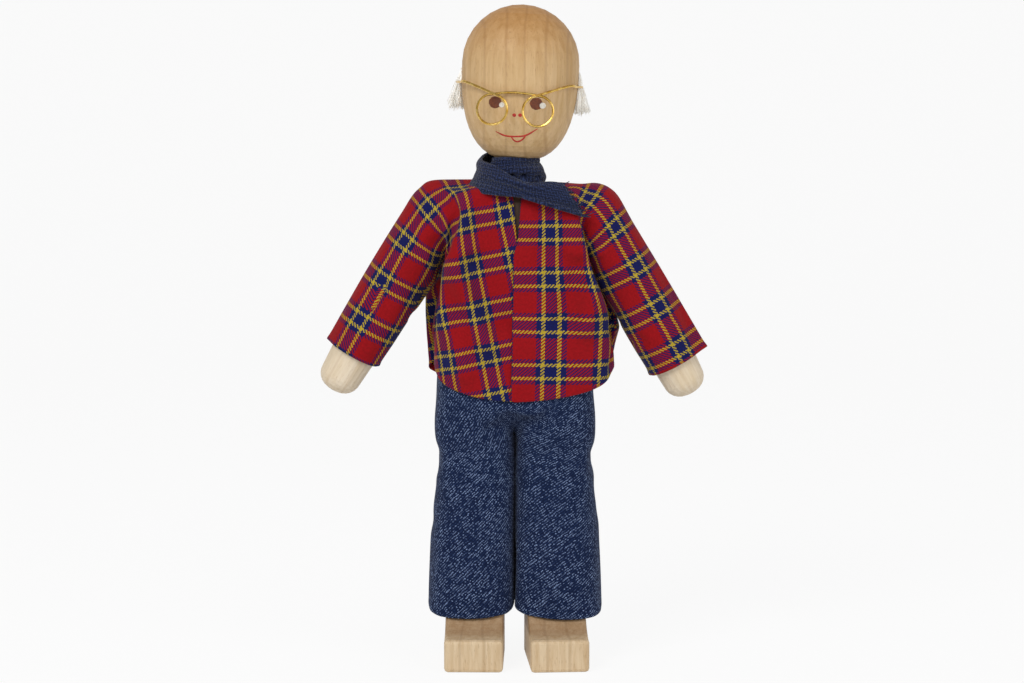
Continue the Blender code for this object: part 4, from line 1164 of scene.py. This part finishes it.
def tie_neckerchief(shirt):
    """A strip wound once round the neck; its loose end lies on the shirt with a frayed cut edge."""
    stations = []
    for degrees, radius, z, half, lean in NECK_TURN:
        angle = math.radians(degrees)
        out = Vector((math.sin(angle), -math.cos(angle), 0))
        stations.append((out * radius + Vector((NECK_LEAN_X, 0, z)), Vector((0, 0, half)) - out * lean, out))
    stations += [(Vector(centre), Vector(up), Vector((0, -1, 0))) for centre, up in LOOSE_END]
    rows = [smooth_curve([station[k] * MM for station in stations], STRIP_STEPS) for k in (0, 1)]
    outs = smooth_curve([station[2] for station in stations], STRIP_STEPS)
    length = [0.0]
    for a, b in zip(rows[0], rows[0][1:]):
        length.append(length[-1] + (b - a).length)
    loose = STRIP_STEPS * len(NECK_TURN)
    chance = random.Random(3)
    # Two phases are used; the third draw keeps the fray's draws in their order.
    phases = [chance.uniform(0, 6.28) for _ in range(3)]
    vertices = []
    uvs = []
    for k, (centre, up, out) in enumerate(zip(*rows, outs)):
        along = length[k] / MM
        for t in np.linspace(-1, 1, STRIP_POINTS):
            fold = sum(depth * math.sin(turns * t + phase + drift * along)
                       for (depth, turns, drift), phase in zip(STRIP_FOLDS, phases))
            spot = centre + up * t + out.normalized() * fold
            for tree in shirt if k > loose else ():
                hit = tree.ray_cast(Vector((spot.x, IN_FRONT_Y, spot.z)), Vector((0, 1, 0)))[0]
                if hit:
                    spot.y = min(spot.y, hit.y - CLOTH_GAP)
            vertices.append(spot)
            uvs.append((length[k], up.length * t))
    stand_off(vertices, [nodes["head"]])
    faces = [(a, d, c, b) for a, b, c, d in quads(len(rows[0]), STRIP_POINTS, closed=False)]
    cloth = gauze()
    strip = add_mesh("neckerchief_strip", vertices, faces, [cloth], True)
    map_cloth(strip, [uvs[loop.vertex_index] for loop in strip.data.loops])
    solid = strip.modifiers.new("thickness", "SOLIDIFY")
    solid.thickness = STRIP_THICKNESS
    solid.offset = 0.0
    round_off = strip.modifiers.new("smooth", "SUBSURF")
    round_off.levels = 1
    round_off.uv_smooth = "NONE"
    settled(strip)

    strands = []
    away = (rows[0][-1] - rows[0][-3]).normalized()
    cut = vertices[-STRIP_POINTS:]
    for _ in range(FRAY_COUNT):
        t = chance.uniform(-FRAY_EDGE, FRAY_EDGE)
        c = (t + 1) / 2 * (STRIP_POINTS - 1)
        spot = cut[int(c)].lerp(cut[min(int(c) + 1, STRIP_POINTS - 1)], c - int(c)) - away * FRAY_ROOT
        sideways, outward = FRAY_BEND
        bend = Vector((chance.gauss(0, sideways), -abs(chance.gauss(0, outward)), chance.gauss(0, sideways)))
        run = chance.uniform(*FRAY_REACH)
        strands.append([(spot + (away + bend * share) * run * share, FRAY_RADIUS * (1.1 - 0.5 * share))
                        for share in (0.0, 0.35, 0.7, 1.0)])
    fringe = tubes("neckerchief_fray", strands, 5, cloth)
    corners = [fringe.data.vertices[loop.vertex_index].co for loop in fringe.data.loops]
    map_cloth(fringe, [(corner.x, corner.z) for corner in corners])
    for piece in (strip, fringe):
        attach(piece, "torso")
    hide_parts("neckerchief")


# Stage, camera and light

def make_stage():
    """A pale paper sweep: floor in front, curving up behind."""
    front, back, bend, top, half_width = -1.5, 0.5, 0.4, 2.0, 1.8
    material, add, shader = start_material("matt_white_paper", 0.9, Specular_IOR_Level=0.1,
                                           Base_Color="#F2F2F2")
    rays = add("LightPath").outputs
    seen = add("Math", {0: rays["Is Camera Ray"], 1: rays["Is Glossy Ray"]}, operation="MAXIMUM")
    seen = add("Math", {0: seen, 1: rays["Is Transmission Ray"]}, operation="MAXIMUM")
    share = add("Math", {0: seen, 1: 0.9}, operation="MULTIPLY")
    glow = add("Emission", {"Color": "#FFFFFF", "Strength": 1.0})
    surface = add("MixShader", {0: share, 1: shader, 2: glow})
    feed(material.node_tree.nodes["Material Output"], {"Surface": surface})
    profile = [(front, 0.0), (back, 0.0)]
    profile += [(back + bend * math.sin(a), bend - bend * math.cos(a))
                for a in np.linspace(0.1, math.pi / 2, 12)]
    profile.append((back + bend, top))
    vertices = [(x, y, z) for y, z in profile for x in (-half_width, half_width)]
    add_mesh("paper_sweep", vertices, quads(len(profile), 2, closed=False), [material], True)


def make_light():
    """Even studio light: a pale surround, a soft key from the doll's right and a weaker fill."""
    world = bpy.data.worlds.new("studio")
    bpy.context.scene.world = world
    world.use_nodes = True
    feed(world.node_tree.nodes["Background"], {"Color": "#F6F6F6", "Strength": 0.42})
    for name, place, size, power in LAMPS:
        lamp = bpy.data.lights.new(name, "AREA")
        lamp.size = size
        lamp.energy = power
        thing = bpy.data.objects.new(name, lamp)
        thing.location = place
        thing.rotation_euler = (Vector(LAMPS_AIM) - Vector(place)).to_track_quat("-Z", "Y").to_euler()
        bpy.context.scene.collection.objects.link(thing)


def make_camera():
    """The photograph's view: from the front, a little above."""
    distance = 0.48
    frame_width = 0.2028
    elevation = math.radians(6.0)
    target = Vector((-0.0006, 0.0, 0.0637))
    camera = bpy.data.cameras.new("camera")
    camera.sensor_width = 36.0
    camera.lens = camera.sensor_width * distance / frame_width
    camera.clip_start = 0.01
    thing = bpy.data.objects.new("camera", camera)
    thing.location = target + distance * Vector((0.0, -math.cos(elevation), math.sin(elevation)))
    thing.rotation_euler = (target - thing.location).to_track_quat("-Z", "Y").to_euler()
    bpy.context.scene.collection.objects.link(thing)
    bpy.context.scene.camera = thing
    bpy.context.scene.view_settings.view_transform = "Standard"


def finish_wood():
    """Puts a worked finish on every solid that stays in sight or inside; the trunk, the head's top and the
    feet's tops also carry painted shade.
    """
    thigh = wood("planed_beech", "#D8C3A0", "#C4A87C", "#94703F")
    # The feet are painted darker and greyer above 6 mm: painted shade on their sloped tops under the trousers.
    feet = wood("sawn_beech", "#DAC3A1", "#C6A982", "#8E6C48", shade_tint=(0.0060, 0.0072, "#C9BBB0"),
                grain_size=0.0008)
    metal = steel()
    # The head is darker and more orange above 114 mm: an orange tone on the dome, with painted shade on top.
    finishes = {"head": wood("turned_beech", "#D0B083", "#C09C6A", "#8A6034", shade_tint=(0.114, 0.131, "#E0C49C")),
                # The trunk is painted dark brown: painted shade for the inside of the open V at the neck.
                "torso": wood("beech_painted_dark_as_shade", "#4A3222", "#332014", "#1E120A"),
                "glasses": brass(), "waist_elastic": elastic(), "neck_peg": thigh, "hip_pin": metal}
    for name, side in SIDES:
        line = arm_line(name)[1]
        arm = wood(f"sanded_beech_{name}", "#E4D4BC", "#D6C2A2", "#AE8E64", math.atan2(line.x, -line.z))
        for part, finish in (("upper_arm", arm), ("forearm", arm), ("thigh", thigh), ("lower_leg", feet),
                             ("shoulder_peg", thigh), ("elbow_pin", metal), ("knee_pin", metal)):
            finishes[f"{part}_{name}"] = finish
    for name, finish in finishes.items():
        for slot in nodes[name].material_slots:
            slot.material = finish


def declare(replaced):
    """Hides the CAD solids that a cloth piece stands for."""
    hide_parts(*replaced)


def wear_trousers():
    """Hangs the trousers on the trunk and legs; returns the whole cloth."""
    pieces, areas, (seat_z, knee_z), body = make_trousers(denim())
    waist, gusset = pieces["trousers_waist"], pieces["trousers_gusset"]
    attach(waist, "torso")
    declare(["trousers_seat"])
    for name, side in SIDES:
        leg = f"trouser_leg_{name}"
        for part, upper, lower, top_z, run, replaced in (
                ("thigh", "torso", f"{name}_thigh", seat_z - 2 * SEAM_STEP, HIP_BLEND, [leg, "trousers_seat"]),
                ("shin", f"{name}_thigh", f"{name}_lower_leg", knee_z - 2 * SEAM_STEP, KNEE_BLEND, [leg])):
            label = f"trouser_{part}_{name}"
            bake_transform(pieces[label])
            declare(replaced)
    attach(gusset, "torso")
    declare(["trousers_seat"])
    return body


def wear_shirt(trousers):
    """Puts the shirt over the trousers, with the neckerchief on top and the linings inside."""
    cloth = plaid()
    pieces, areas, borders = make_shirt(cloth, trousers)
    tie_neckerchief([surface_of(piece) for name, piece in pieces.items() if "lower" not in name])
    trunk = pieces["shirt_trunk"]
    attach(trunk, "torso")
    declare(["shirt_body"])
    for name, side in SIDES:
        sleeve = [f"shirt_sleeve_{name}"]
        upper = pieces[f"sleeve_upper_{name}"]
        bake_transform(upper)
        declare(sleeve)
        for part in LININGS:
            lining, girth, area = line_sleeve(name, part, cloth)
            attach(lining, f"{name}_{part}")
            declare(sleeve)
        lower = pieces[f"sleeve_lower_{name}"]
        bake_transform(lower)
        declare(sleeve)
        tail = pieces.get(f"shirt_tail_{name}")
        if tail:
            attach(tail, "torso")
            declare(["shirt_body"])
            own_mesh(tail)


def main():
    make_stage()
    make_light()
    make_camera()
    finish_wood()
    paint_face()
    comb_hair()
    wear_shirt(wear_trousers())


main()
